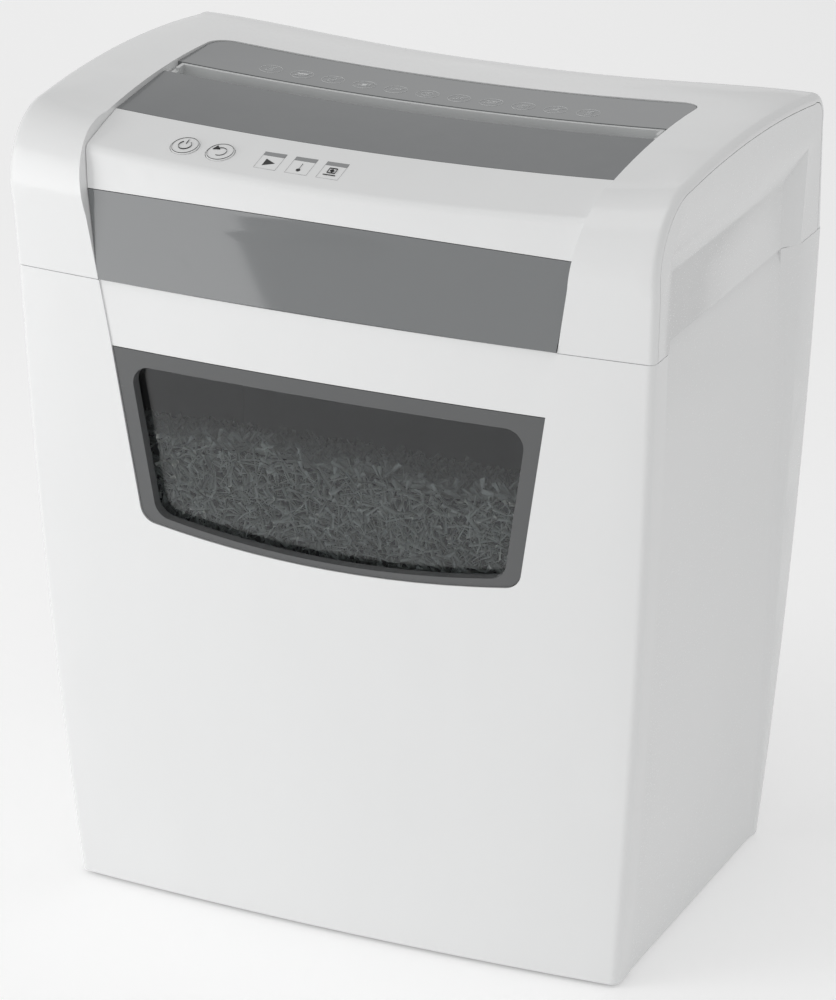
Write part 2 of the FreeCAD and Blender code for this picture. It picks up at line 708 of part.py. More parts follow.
# ---- head shell ----------------------------------------------------------------------------------
def head_profile(x, inset, foot_z=SEAM_Z):
    """Closed outline of the head in the plane at distance x from the centre."""
    ratio = min(abs(x) / CREASE_TOP, 1.0) ** 2
    beyond = max(abs(x) - CREASE_TOP, 0.0) / (TOP_HALF + 1 - CREASE_TOP)

    def drop(key):
        inner, centre = TOP_DIP.get(key, (0.0, 0.0))
        return (centre + (inner - centre) * ratio) * (1 - beyond)

    def point(key, dy, dz):
        y, height = SHOULDER[key]
        fall = bow(x) if y < PLATE_FRONT_Y else 0
        return V(x, y + dy * inset + fall, SEAM_Z + height - drop(key) - dz * inset)

    foot = V(x, front_y(SEAM_Z, x) + inset, foot_z)
    front = point("front", 1, 0)
    turn = point("turn", 0.75, 0.7)
    turn.z -= TURN_DROP * drop("brow")
    brow = point("brow", 0.15, 1)
    crown = point("crown", 0, 1)
    back = point("back", 0, 1)
    rear_turn = point("rear_turn", -0.7, 0.7)
    rear = point("rear", -1, 0)
    rear_foot = V(x, REAR_Y - inset, foot_z)
    edges = [Part.makeLine(foot, front), Part.Arc(front, turn, brow).toShape(), Part.Arc(brow, crown, back).toShape(),
             Part.Arc(back, rear_turn, rear).toShape(), Part.makeLine(rear, rear_foot),
             Part.makeLine(rear_foot, foot)]
    return Part.Wire(edges)


def head_body(inset):
    """Head outline lofted from side to side and trimmed by the leaning sides."""
    edge = TOP_HALF + 1
    stations = (-edge, -CREASE_TOP, -CREASE_TOP / 2, 0.0, CREASE_TOP / 2, CREASE_TOP, edge)
    foot_z = SEAM_Z - (30 if inset else 0)
    body = loft([head_profile(x, inset, foot_z) for x in stations])
    z0 = SEAM_Z - 40
    z1 = HEIGHT + 10
    low = half_width(SEAM_Z) - (TOP_HALF - SEAM_HALF) * (SEAM_Z - z0) / (HEIGHT - SEAM_Z) - inset
    high = half_width(z1) - inset
    sides = plate_xz([(low, z0), (high, z1), (-high, z1), (-low, z0)], -200, 200)
    body = body.common(sides)
    if inset:
        return body
    rim = edges_where(body, lambda m, e: abs(m.x) > half_width(m.z) - 0.5 and m.z > SEAM_Z + 2)
    return rounded(body, rim, EDGE_R)


def side_outline(shrink, x0, x1):
    """Side-cover outline: the head's side profile drawn in by a margin, open at the joint."""
    outline = Part.Face(head_profile(TOP_HALF, 0, SEAM_Z - 20)).makeOffset2D(-shrink)
    solid = outline.extrude(V(x1 - x0, 0, 0))
    solid.translate(V(x0 - TOP_HALF, 0, 0))
    return solid.common(box(x0 - 1, x1 + 1, -200, 200, SEAM_Z, HEIGHT + 20))


def crease_wall(outer):
    """Wall that closes the step from the shoulders down to the centre."""
    rear = PLATE_REAR_Y + GAP
    collar = crease_prism(-CREASE_T, -160, rear + CREASE_T, SEAM_Z)
    collar = collar.cut(crease_prism(0, -170, rear, SEAM_Z - 1))
    return collar.common(outer).common(centre_slab(-CREASE_CURL, CREASE_DEEP))


def head_top_cover(outer, inner):
    shell = outer.cut(inner)
    shell = shell.cut(crease_prism(0, -160, PLATE_REAR_Y + GAP, SEAM_Z - 1))
    shell = shell.fuse(crease_wall(outer)).removeSplitter()
    for opening in (side_outline(EDGE_R + 0.6, 165, 195), mirror(side_outline(EDGE_R + 0.6, 165, 195))):
        shell = shell.cut(opening)
    return shell


def head_recess(grow):
    """Block that forms the recess in a head side cover."""
    z0 = SEAM_Z - 5
    z1 = HEAD_RECESS_TOP_Z + grow
    y0 = corner_y(SEAM_Z) + RIM_DEPTH - grow
    y1 = REAR_STRIP_SEAM_Y + grow
    surface = half_width(SEAM_Z) + 4
    floor = half_width(SEAM_Z) - RECESS_SEAM - grow
    out0, out1, out_z = y0 - RECESS_CHAMFER, y1 + RECESS_CHAMFER - 1, z1 + RECESS_CHAMFER + 1
    in0, in1, in_z = y0 + RECESS_RUN, y1 - RECESS_SLANT, z1 - RECESS_SLANT
    wide = [V(surface, y, z) for y, z in ((out0, z0), (out1, z0), (out1, out_z), (out0, out_z))]
    deep = [V(floor, y, z) for y, z in ((in0, z0), (in1, z0), (in1, in_z), (in0, in_z))]
    return loft([Part.makePolygon(ring + [ring[0]]) for ring in (wide, deep)], True)


def head_side_cover(outer):
    region = side_outline(EDGE_R + 0.6 + GAP, 150, 195).common(outer)
    hollow = region.cut(region.translated(V(-WALL, 0, 0)))
    skin = region.common(hollow)
    recess = head_recess(0)
    bulge = region.common(head_recess(WALL))
    cover = skin.fuse(bulge).cut(recess)
    return cover.removeSplitter()


# ---- centre of the head --------------------------------------------------------------------------
def centre_profile(x, depth):
    """Points of the centre surface at distance x, sunk by a depth."""
    ratio = (x / CREASE_TOP) ** 2
    points = []
    for index, (y, height, dy, dz) in enumerate(CENTRE):
        back = depth * (1.0, 1.0, 0.75, 0.0, 0.0, 0.0, 0.0)[index]
        down = depth * (0.0, 0.0, 0.75, 1.0, 1.0, 1.0, 1.0)[index]
        points.append(V(x, y + dy * ratio + back, SEAM_Z + height + dz * ratio - down))
    return points


def centre_slab(depth0, depth1):
    """Sheet between two depths under the centre surface."""
    wires = []
    for x in (-CREASE_TOP - 3, -CREASE_TOP / 2, 0.0, CREASE_TOP / 2, CREASE_TOP + 3):
        top = centre_profile(x, depth0)
        low = centre_profile(x, depth1)
        wires.append(Part.makePolygon(top + list(reversed(low)) + [top[0]]))
    return loft(wires)


def centre_height(x, y, depth=0.0):
    """Height of the control panel or plates at a place."""
    points = centre_profile(x, depth)
    for a, b in zip(points[1:], points[2:]):
        if a.y <= y <= b.y:
            return a.z + (b.z - a.z) * (y - a.y) / (b.y - a.y)
    return points[-1].z


def control_tilt():
    a, b = CENTRE[2], CENTRE[3]
    return math.degrees(math.atan2(b[1] - a[1], b[0] - a[0]))


def on_panel(shape, x, y):
    """Place a shape, built upright at the origin, on the sloping control panel."""
    turned = FreeCAD.Rotation(V(1, 0, 0), control_tilt())
    placed = shape.copy()
    placed.Placement = FreeCAD.Placement(V(x, y, centre_height(x, y)), turned)
    return placed


def centre_piece(slab, y0, y1, z0, z1, trim):
    region = crease_prism(trim, -160, PLATE_REAR_Y, SEAM_Z + GAP)
    return slab.common(region).common(box(-150, 150, y0, y1, z0, z1))


def control_panel(slab):
    panel = centre_piece(slab, -160, PLATE_FRONT_Y - GAP / 2, BAND_TOP_Z + GAP / 2, HEIGHT, GAP)
    fold = edges_where(panel, lambda m, e: e.Length > 200 and m.y < -108 and abs(m.z - FOLD_Z) < 0.5)
    panel = rounded(panel, fold, FOLD_R)
    for x in (POWER_X, REVERSE_X):
        panel = panel.cut(on_panel(Part.makeCylinder(BUTTON_R + BUTTON_GAP, 20, V(0, 0, -12)), x, CONTROL_Y))
    for index in range(LENS_COUNT):
        wide, long = LENS_W + 2 * LENS_PLAY, LENS_L + 2 * LENS_PLAY
        cutter = Part.makeBox(wide, long, 12, V(-wide / 2, -long / 2, -8))
        panel = panel.cut(on_panel(cutter, LENS_X + index * LENS_PITCH, LENS_Y))
    return panel


def centre_frame():
    frame = centre_slab(PLATE_T + SEAT, PLATE_T + SEAT + FRAME_T)
    frame = centre_piece(frame, -160, PLATE_REAR_Y, SEAM_Z, HEIGHT, 2 * GAP)
    mouth = CREASE_TOP - THROAT_END + SEAT
    frame = frame.cut(box(-mouth, mouth, SLOT_FRONT_Y, SLOT_REAR_Y, SHAFT_Z, HEIGHT))
    for x in (POWER_X, REVERSE_X):
        frame = frame.cut(on_panel(Part.makeCylinder(BUTTON_R + 4, 40, V(0, 0, -25)), x, CONTROL_Y))
    for index in range(LENS_COUNT):
        cutter = Part.makeBox(LENS_W + 2, LENS_L + 2, 30, V(-LENS_W / 2 - 1, -LENS_L / 2 - 1, -25))
        frame = frame.cut(on_panel(cutter, LENS_X + index * LENS_PITCH, LENS_Y))
    return frame


def button():
    """Cap, retaining flange and stem, about the point where the axis meets the panel surface."""
    cap = Part.makeCylinder(BUTTON_R, BUTTON_SKIRT + BUTTON_PROUD, V(0, 0, -BUTTON_SKIRT))
    rim = edges_where(cap, lambda m, e: m.z > BUTTON_PROUD - 0.01)
    cap = rounded(cap, rim, BUTTON_EDGE_R)
    flange = Part.makeCylinder(FLANGE_R, FLANGE_T, V(0, 0, -PLATE_T - BUTTON_TRAVEL - FLANGE_T - 0.9))
    stem = Part.makeCylinder(STEM_R, STEM_L, V(0, 0, -STEM_DEEP))
    return cap.fuse([flange, stem]).removeSplitter()


def indicator_lenses():
    lens = Part.makeBox(LENS_W, LENS_L, LENS_T, V(-LENS_W / 2, -LENS_L / 2, LENS_PROUD - LENS_T))
    return group([on_panel(lens, LENS_X + i * LENS_PITCH, LENS_Y) for i in range(LENS_COUNT)])


def board_middle():
    return (POWER_X + LENS_X + (LENS_COUNT - 1) * LENS_PITCH) / 2


def under_panel(shape, x):
    """Place a shape under the control panel on the level of the button board."""
    placed = on_panel(shape, x, CONTROL_Y)
    placed.translate(V(0, 0, centre_height(0, CONTROL_Y) - centre_height(x, CONTROL_Y)))
    return placed


def button_board():
    board = Part.makeBox(BOARD_L, BOARD_W, BOARD_T, V(-BOARD_L / 2, -BOARD_FRONT, -BOARD_DEEP - BOARD_T))
    return under_panel(board, board_middle())


def button_board_posts():
    """Bosses that hang the button board from the centre frame."""
    length = BOARD_DEEP - PLATE_T - FRAME_T - 1.0
    boss = Part.makeCylinder(BOSS_R, length, V(0, BOSS_Y, -BOARD_DEEP))
    return [under_panel(boss, board_middle() + s * (BOARD_L / 2 - BOSS_R - 0.2)) for s in (1, -1)]


def tact_switches():
    body = Part.makeBox(SWITCH_W, SWITCH_W, SWITCH_H, V(-SWITCH_W / 2, -SWITCH_W / 2, -BOARD_DEEP))
    return [under_panel(body, x) for x in (POWER_X, REVERSE_X)]


def feed_throat():
    """Funnel that leads the paper from the slot down to the cutters."""
    half = CREASE_TOP - THROAT_END
    front = SLOT_FRONT_Y + GAP
    rear = SLOT_REAR_Y - GAP
    top = centre_height(half, SLOT_FRONT_Y) + 5
    shelf = THROAT_SHELF_Z
    body = box(-half, half, front, rear, shelf - THROAT_WALL, top)
    slim_half = THROAT_HALF + THROAT_WALL
    body = body.fuse(box(-slim_half, slim_half, front, rear, THROAT_FOOT_Z, shelf)).removeSplitter()
    body = body.common(centre_slab(GAP, THROAT_DEEP))
    lip = box(-half, half, front, THROAT_Y, shelf, top)
    body = body.cut(lip.common(centre_slab(0, THROAT_LIP)))

    def ring(h, y0, y1, z):
        return Part.makePolygon([V(-h, y0, z), V(h, y0, z), V(h, y1, z), V(-h, y1, z), V(-h, y0, z)])
    wide = (half - THROAT_WALL, front + THROAT_WALL, rear - THROAT_WALL)
    neck = (THROAT_HALF, front + THROAT_WALL, rear - THROAT_WALL)
    slim = (THROAT_HALF, THROAT_Y - THROAT_GAP / 2, THROAT_Y + THROAT_GAP / 2)
    slim_z = THROAT_FOOT_Z + THROAT_SLIM_H
    funnel = [loft([ring(*wide, shelf + 2), ring(*wide, top + 1)], True),
              loft([ring(*neck, shelf), ring(*wide, shelf + 2)], True),
              loft([ring(*slim, slim_z), ring(*neck, shelf)], True),
              loft([ring(*slim, THROAT_FOOT_Z - 1), ring(*slim, slim_z)], True)]
    for piece in funnel:
        body = body.cut(piece)
    return body.cut(box(-SENSOR_SLOT_HALF, SENSOR_SLOT_HALF, front - 1, THROAT_Y, THROAT_FOOT_Z - 1,
                        THROAT_FOOT_Z + SENSOR_SLOT_H))


# ---- cutting unit --------------------------------------------------------------------------------
def cutter_shaft(y, left_end):
    hexed = hexagon(y, SHAFT_Z, HEX_AF, HEX_CLEAR - PLATE_X, PLATE_X - HEX_CLEAR)
    return joined([rod(left_end, PLATE_X + STEEL_T + JOURNAL_END, y, SHAFT_Z, JOURNAL_R), hexed])


def cutter_disc(angle):
    """Disc with hooked notches, on a hexagonal bore."""
    disc = Part.makeCylinder(DISC_R, DISC_T, V(0, 0, 0), V(1, 0, 0))
    far = DISC_R + 2
    deep = DISC_R - TOOTH_DEEP
    notches = []
    for step in range(TEETH):
        a = math.radians(angle + 360 / TEETH * step)
        b, c = a + TOOTH_RAKE, a + TOOTH_SPREAD
        outline = [(far * math.cos(a), far * math.sin(a)), (deep * math.cos(b), deep * math.sin(b)),
                   (far * math.cos(c), far * math.sin(c))]
        notches.append(plate_yz(outline, -1, DISC_T + 1))
    return disc.cut(notches).cut(hexagon(0, 0, HEX_AF + 2 * RUN, -1, DISC_T + 1))


def disc_stack(y, start, count, twist):
    discs = []
    for index in range(count):
        disc = cutter_disc(twist * index)
        disc.translate(V(start + index * DISC_STEP, y, SHAFT_Z))
        discs.append(disc)
    return group(discs)


def stripper_comb(shaft_y, side, start, count):
    """Bar with one finger in each gap between the discs of a shaft."""
    bar_y = shaft_y + side * COMB_OUT
    lo, hi = sorted((bar_y, bar_y + side * COMB_T))
    length = PLATE_X - SEAT
    bar = box(-length, length, lo, hi, SHAFT_Z - COMB_HALF_H, SHAFT_Z + COMB_HALF_H)
    lo, hi = sorted((shaft_y + side * FINGER_OUT, bar_y))
    fingers = []
    for index in range(count):
        x = start + (DISC_T + DISC_STEP) / 2 + index * DISC_STEP
        half = FINGER_T / 2
        finger = box(x - half, x + half, lo, hi, SHAFT_Z - FINGER_HALF_H, SHAFT_Z + FINGER_HALF_H)
        room = rod(x - FINGER_T, x + FINGER_T, shaft_y, SHAFT_Z, HEX_AF / 2 + FINGER_CLEAR)
        fingers.append(finger.cut(room))
    return bar.fuse(fingers)


def rod_places():
    return [(SHAFT_A_Y - ROD_HIGH_OUT, ROD_HIGH_Z), (SHAFT_B_Y + ROD_HIGH_OUT, ROD_HIGH_Z),
            (SHAFT_A_Y - ROD_LOW_OUT, ROD_LOW_Z), (SHAFT_B_Y + ROD_LOW_OUT, ROD_LOW_Z)]


def tie_rods():
    return group([rod(-PLATE_X, PLATE_X, y, z, ROD_R) for y, z in rod_places()])


def side_plate(x0, outline):
    plate = plate_yz(outline, x0, x0 + STEEL_T)
    for y in (SHAFT_A_Y, SHAFT_B_Y):
        plate = plate.cut(rod(x0 - 1, x0 + STEEL_T + 1, y, SHAFT_Z, BUSH_R + RUN))
    return plate


def plate_ears():
    """Top outline of a side plate, rear to front: two ears under the centre frame, clear of the throat."""
    rear = SLOT_REAR_Y + EAR_REAR_GAP
    front = SLOT_FRONT_Y - EAR_FRONT_GAP
    return [(EAR_REAR_Y, EAR_Z), (rear, EAR_Z), (rear, STEEL_TOP_Z), (front, STEEL_TOP_Z), (front, EAR_Z),
            (STEEL_FRONT_Y, EAR_Z)]


def left_side_plate():
    outline = [(STEEL_FRONT_Y, TRAY_TOP), (STEEL_REAR_Y, TRAY_TOP), (STEEL_REAR_Y, STEEL_SHOULDER_Z),
               STEEL_CORNER, (EAR_REAR_Y, STEEL_TOP_Z)]
    plate = side_plate(-PLATE_X - STEEL_T, outline + plate_ears())
    return plate.cut(rod(-PLATE_X - STEEL_T - 1, -PLATE_X + 1, MOTOR_Y, MOTOR_Z, MOTOR_SHAFT_R + 0.5))


def right_side_plate():
    return side_plate(PLATE_X, [(STEEL_FRONT_Y, TRAY_TOP), (EAR_REAR_Y, TRAY_TOP)] + plate_ears())


def shaft_bushes():
    bushes = []
    for side in (1, -1):
        x0, x1 = sorted((side * (PLATE_X - BUSH_IN), side * (PLATE_X + STEEL_T + BUSH_OUT)))
        for y in (SHAFT_A_Y, SHAFT_B_Y):
            ring = rod(x0, x1, y, SHAFT_Z, BUSH_R)
            bushes.append(ring.cut(rod(x0 - 1, x1 + 1, y, SHAFT_Z, JOURNAL_R + RUN)))
    return group(bushes)


# ---- gears ---------------------------------------------------------------------------------------
def gear_points(module, teeth, phase):
    """Outline of an involute spur gear about the origin; phase turns it, in tooth pitches."""
    pitch_r = module * teeth / 2
    base_r = pitch_r * math.cos(PRESSURE)
    tip_r = pitch_r + ADDENDUM * module
    root_r = pitch_r - DEDENDUM * module
    half_tooth = (math.pi / 2 - BACKLASH) / teeth
    inv = math.tan(PRESSURE) - PRESSURE
    start = max(root_r, base_r)
    points = []
    for tooth in range(teeth):
        middle = 2 * math.pi * (tooth + phase) / teeth
        flank = []
        for step in range(5):
            r = start + (tip_r - start) * step / 4
            roll = math.acos(min(base_r / r, 1.0))
            flank.append((r, half_tooth + inv - (math.tan(roll) - roll)))
        if root_r < start:
            flank.insert(0, (root_r, flank[0][1]))
        points += [(r * math.cos(middle - a), r * math.sin(middle - a)) for r, a in flank]
        points += [(r * math.cos(middle + a), r * math.sin(middle + a)) for r, a in reversed(flank)]
    return points


def gear(module, teeth, phase, y, z, x0, x1, bore):
    outline = [(y + a, z + b) for a, b in gear_points(module, teeth, phase)]
    return plate_yz(outline, x0, x1).cut(rod(x0 - 1, x1 + 1, y, z, bore))


def mesh_phase(teeth_a, phase_a, teeth_b, direction):
    """Phase that puts a space of gear b on the line of centres where gear a has its tooth state."""
    a_at_line = direction / (2 * math.pi) * teeth_a - phase_a
    b_at_line = (direction + math.pi) / (2 * math.pi) * teeth_b
    return b_at_line + a_at_line - 0.5


def centre_distance(module, a, b):
    return module * (a + b) / 2


def gear_layout():
    """Axes of the two compound gears, each at its true distance from its neighbours."""
    d3 = centre_distance(STAGE3_M, STAGE3_PINION, STAGE3_GEAR)
    d2 = centre_distance(STAGE2_M, STAGE2_PINION, STAGE2_GEAR)
    d1 = centre_distance(STAGE1_M, STAGE1_PINION, STAGE1_GEAR)
    g2 = (SHAFT_B_Y + math.sqrt(d3 ** 2 - (GEAR2_Z - SHAFT_Z) ** 2), GEAR2_Z)
    span = math.hypot(MOTOR_Y - g2[0], MOTOR_Z - g2[1])
    along = (d2 ** 2 - d1 ** 2 + span ** 2) / (2 * span)
    aside = math.sqrt(d2 ** 2 - along ** 2)
    uy, uz = (MOTOR_Y - g2[0]) / span, (MOTOR_Z - g2[1]) / span
    g1 = (g2[0] + along * uy + aside * uz, g2[1] + along * uz - aside * uy)
    return g1, g2


def direction(a, b):
    return math.atan2(b[1] - a[1], b[0] - a[0])


def build_gears():
    shaft_a = (SHAFT_A_Y, SHAFT_Z)
    shaft_b = (SHAFT_B_Y, SHAFT_Z)
    motor = (MOTOR_Y, MOTOR_Z)
    g1, g2 = gear_layout()
    snug = JOURNAL_R + RUN
    loose = PIN_R + RUN
    sync_phase = mesh_phase(SYNC_T, 0, SYNC_T, direction(shaft_b, shaft_a))
    put("sync_gear_rear", gear(SYNC_M, SYNC_T, 0, *shaft_b, *P1, snug))
    put("sync_gear_front", gear(SYNC_M, SYNC_T, sync_phase, *shaft_a, *P1, snug))
    put("drive_gear", gear(STAGE3_M, STAGE3_GEAR, 0, *shaft_b, *P2, snug))
    phase2 = mesh_phase(STAGE3_GEAR, 0, STAGE3_PINION, direction(shaft_b, g2))
    small2 = gear(STAGE3_M, STAGE3_PINION, phase2, *g2, P2[0] - HUB, P2[1], loose)
    large2 = gear(STAGE2_M, STAGE2_GEAR, 0, *g2, *P3, loose)
    put("second_gear", small2.fuse(large2))
    phase1 = mesh_phase(STAGE2_GEAR, 0, STAGE2_PINION, direction(g2, g1))
    small1 = gear(STAGE2_M, STAGE2_PINION, phase1, *g1, P3[0] - HUB, P3[1], loose)
    large1 = gear(STAGE1_M, STAGE1_GEAR, 0, *g1, *P4, loose)
    put("first_gear", small1.fuse(large1))
    phase0 = mesh_phase(STAGE1_GEAR, 0, STAGE1_PINION, direction(g1, motor))
    put("motor_pinion", gear(STAGE1_M, STAGE1_PINION, phase0, *motor, *P4, MOTOR_SHAFT_R + RUN))
    pins = []
    for y, z in (g1, g2):
        pins.append(rod(GEAR_PLATE_X, -PLATE_X - STEEL_T, y, z, PIN_R))
    pins.append(rod(-BRACKET_HALF, BRACKET_HALF, LEVER_Y, LEVER_Z, LEVER_PIN_R))
    put("pivot_pins", group(pins))


def gear_plate():
    front, foot = SHAFT_A_Y - GEAR_PLATE_FRONT, TRAY_TOP + SEAT
    outline = [(front, foot), (GEAR_PLATE_REAR_Y, foot), (GEAR_PLATE_REAR_Y, STEEL_SHOULDER_Z),
               GEAR_PLATE_CORNER, (front, GEAR_PLATE_TOP_Z)]
    return plate_yz(outline, GEAR_PLATE_X - GEAR_PLATE_T, GEAR_PLATE_X)


def gear_posts():
    return [rod(GEAR_PLATE_X, -PLATE_X - STEEL_T, y, z, GEAR_POST_R) for y, z in GEAR_POSTS]


def motor_posts():
    posts = []
    for a in (90, 210, 330):
        y = MOTOR_Y + MOTOR_POST_R * math.cos(math.radians(a))
        z = MOTOR_Z + MOTOR_POST_R * math.sin(math.radians(a))
        posts.append(rod(-PLATE_X, MOTOR_X0 - MOTOR_CAP_T, y, z, MOTOR_STUD_R))
    return posts


# ---- motor ---------------------------------------------------------------------------------------
def motor_rod(x0, x1, radius):
    """Cylinder on the motor's axis."""
    return rod(x0, x1, MOTOR_Y, MOTOR_Z, radius)


def motor_cap(x0, x1):
    """End cap with a ring of cooling holes."""
    cap = motor_rod(x0, x1, MOTOR_R).cut(motor_rod(x0 - 1, x1 + 1, MOTOR_SHAFT_R + RUN))
    for step in range(CAP_HOLES):
        a = math.radians((step + 0.5) * 360 / CAP_HOLES)
        y = MOTOR_Y + CAP_HOLE_PITCH_R * math.cos(a)
        z = MOTOR_Z + CAP_HOLE_PITCH_R * math.sin(a)
        cap = cap.cut(rod(x0 - 1, x1 + 1, y, z, CAP_HOLE_R))
    return cap


def motor():
    can = motor_rod(MOTOR_X0, MOTOR_X1, MOTOR_R)
    put("motor_can", can.cut(motor_rod(MOTOR_X0 - 1, MOTOR_X1 + 1, MOTOR_R - MOTOR_WALL)))
    put("motor_front_cap", motor_cap(MOTOR_X0 - MOTOR_CAP_T, MOTOR_X0))
    put("motor_rear_cap", motor_cap(MOTOR_X1, MOTOR_X1 + MOTOR_CAP_T))
    shaft = motor_rod(P4[0] - 1, MOTOR_X1 + MOTOR_CAP_T + MOTOR_TAIL, MOTOR_SHAFT_R)
    core = motor_rod(MOTOR_X0 + CORE_FRONT, MOTOR_X1 - CORE_REAR, CORE_R)
    end = MOTOR_X1 - COMMUTATOR_GAP
    commutator = motor_rod(end - COMMUTATOR_L, end, COMMUTATOR_R)
    put("motor_rotor", joined([shaft, core, commutator]))
    put("motor_fan", motor_fan())


def motor_fan():
    x0 = MOTOR_X1 + MOTOR_CAP_T + FAN_GAP
    blades = []
    for step in range(FAN_BLADES):
        blade = box(x0, x0 + FAN_L, FAN_ROOT_R, FAN_R, -FAN_BLADE_T / 2, FAN_BLADE_T / 2)
        blade.rotate(V(0, 0, 0), V(1, 0, 0), 360 / FAN_BLADES * step)
        blade.translate(V(0, MOTOR_Y, MOTOR_Z))
        blades.append(blade)
    fan = motor_rod(x0, x0 + FAN_L, FAN_HUB_R).fuse(blades)
    return fan.cut(motor_rod(x0 - 1, x0 + FAN_L + 1, MOTOR_SHAFT_R + RUN))


# ---- sensor, interlock, electrics ----------------------------------------------------------------
def sensor():
    """Lever in the throat on its bracket; returns the body of its switch."""
    hub = rod(-LEVER_HALF, LEVER_HALF, LEVER_Y, LEVER_Z, LEVER_HUB_R)
    tip = LEVER_Y + LEVER_ARM
    arm = plate_yz([(LEVER_Y, LEVER_Z - 2.6), (tip - 1.2, LEVER_Z - 6.6), (tip, LEVER_Z - 5.2),
                    (LEVER_Y, LEVER_Z + 1.4)], -LEVER_HALF, LEVER_HALF)
    end = LEVER_Y - LEVER_TAIL
    tail = plate_yz([(end, LEVER_Z - 1.2), (LEVER_Y, LEVER_Z - 2.0), (LEVER_Y, LEVER_Z + 2.0),
                     (end, LEVER_Z + 1.2)], -LEVER_HALF, LEVER_HALF)
    bore = rod(-LEVER_HALF - 1, LEVER_HALF + 1, LEVER_Y, LEVER_Z, LEVER_PIN_R + RUN)
    lever = hub.fuse([arm, tail]).cut(bore)
    put("paper_sensor_lever", lever.removeSplitter())
    far = SLOT_FRONT_Y + GAP - SEAT
    near = far - BRACKET_L
    top = LEVER_Z + BRACKET_TOP
    bracket = box(-BRACKET_HALF, BRACKET_HALF, near, far, THROAT_FOOT_Z - 0.5, top)
    bracket = bracket.cut(box(-BRACKET_INNER, BRACKET_INNER, near - 1, far + 1, THROAT_FOOT_Z - 2, top - 1.5))
    bracket = bracket.cut(rod(-BRACKET_HALF - 1, BRACKET_HALF + 1, LEVER_Y, LEVER_Z, LEVER_PIN_R + RUN))
    put("sensor_bracket", bracket.removeSplitter())
    half = BRACKET_INNER + 1
    back = near - 0.1
    return box(-half, half, back - SENSOR_SWITCH_L, back, LEVER_Z - 2.5, top)


def plunger_x():
    """The plunger stands over the middle of the tub's side wall."""
    return tub_half(TUB_RIM_Z) - TUB_WALL / 2


def interlock():
    """Plunger that the rim of the bin lifts; returns the body of its switch."""
    x = plunger_x()
    pin = post(x, PLUNGER_Y, TUB_RIM_Z + SEAT, TRAY_TOP + PLUNGER_TOP, PLUNGER_R)
    collar = post(x, PLUNGER_Y, TRAY_TOP + SEAT, TRAY_TOP + COLLAR_T, PLUNGER_R + COLLAR_W)
    put("interlock_plunger", pin.fuse(collar).removeSplitter())
    near = PLUNGER_Y + LOCK_SWITCH_GAP
    switch = box(x - 15, x + 5, near, near + LOCK_SWITCH_L, TRAY_TOP, TRAY_TOP + LOCK_SWITCH_H)
    nib = box(x - 2, x + 2, near - 1.6, near, TRAY_TOP + 9, TRAY_TOP + 12)
    return switch.fuse(nib).removeSplitter()


def bottom_tray(inner):
    """Floor of the head, with the chute under the cutters."""
    slab = box(-200, 200, -200, 200, TRAY_Z, TRAY_TOP)
    tray = inner.common(slab).cut(box(-200, 200, -200, FRONT_Y + TRAY_FRONT, TRAY_Z - 1, TRAY_TOP + 1))
    chute = box(-CHUTE_HALF, CHUTE_HALF, CHUTE_FRONT_Y, CHUTE_REAR_Y, CHUTE_Z, TRAY_TOP)
    hole = box(CHUTE_WALL - CHUTE_HALF, CHUTE_HALF - CHUTE_WALL, CHUTE_FRONT_Y + CHUTE_WALL,
               CHUTE_REAR_Y - CHUTE_WALL, CHUTE_Z - 1, TRAY_TOP + 1)
    tray = tray.fuse(chute).cut(hole)
    block = head_recess(WALL + SEAT)
    well = post(plunger_x(), PLUNGER_Y, TRAY_Z - 1, TRAY_TOP + 1, PLUNGER_R + SEAT)
    return tray.cut([block, mirror(block), well]).removeSplitter()


def pocket(x, half, face):
    """Opening for an electrical part in the rear wall."""
    reach = INLET_HALF_H + GAP
    return box(x - half - GAP, x + half + GAP, face - 12, face + 8, INLET_Z - reach, INLET_Z + reach)


def mains_inlet(face):
    back = face - INLET_SINK
    body = box(INLET_X - INLET_HALF_W, INLET_X + INLET_HALF_W, face - INLET_DEEP, back,
               INLET_Z - INLET_HALF_H, INLET_Z + INLET_HALF_H)
    socket = box(INLET_X - SOCKET_HALF_W, INLET_X + SOCKET_HALF_W, face - SOCKET_DEEP, face,
                 INLET_Z - SOCKET_HALF_H, INLET_Z + SOCKET_HALF_H)
    upright = edges_where(socket, lambda m, e: abs(e.BoundBox.YLength) > SOCKET_DEEP - 1)
    inlet = body.cut(rounded(socket, upright, SOCKET_R))
    for dx, dz in BLADES:
        x, z = INLET_X + dx, INLET_Z + dz
        root = face - SOCKET_DEEP - 2
        blade = box(x - BLADE_HALF_W, x + BLADE_HALF_W, root, root + BLADE_L, z - BLADE_HALF_H,
                    z + BLADE_HALF_H)
        inlet = inlet.fuse(blade)
    return inlet.removeSplitter()


def rocker_frame(face):
    frame = box(ROCKER_X - ROCKER_HALF, ROCKER_X + ROCKER_HALF, face - ROCKER_DEEP, face - INLET_SINK,
                INLET_Z - INLET_HALF_H, INLET_Z + INLET_HALF_H)
    half = PADDLE_HALF + GAP
    reach = PADDLE_HALF_H + 1.0
    mouth = box(ROCKER_X - half, ROCKER_X + half, face - 13, face, INLET_Z - reach, INLET_Z + reach)
    pin_half = ROCKER_PIN_HALF + RUN
    bore = rod(ROCKER_X - pin_half, ROCKER_X + pin_half, face - PIVOT_IN, INLET_Z, ROCKER_PIN_R + RUN)
    return frame.cut([mouth, bore])


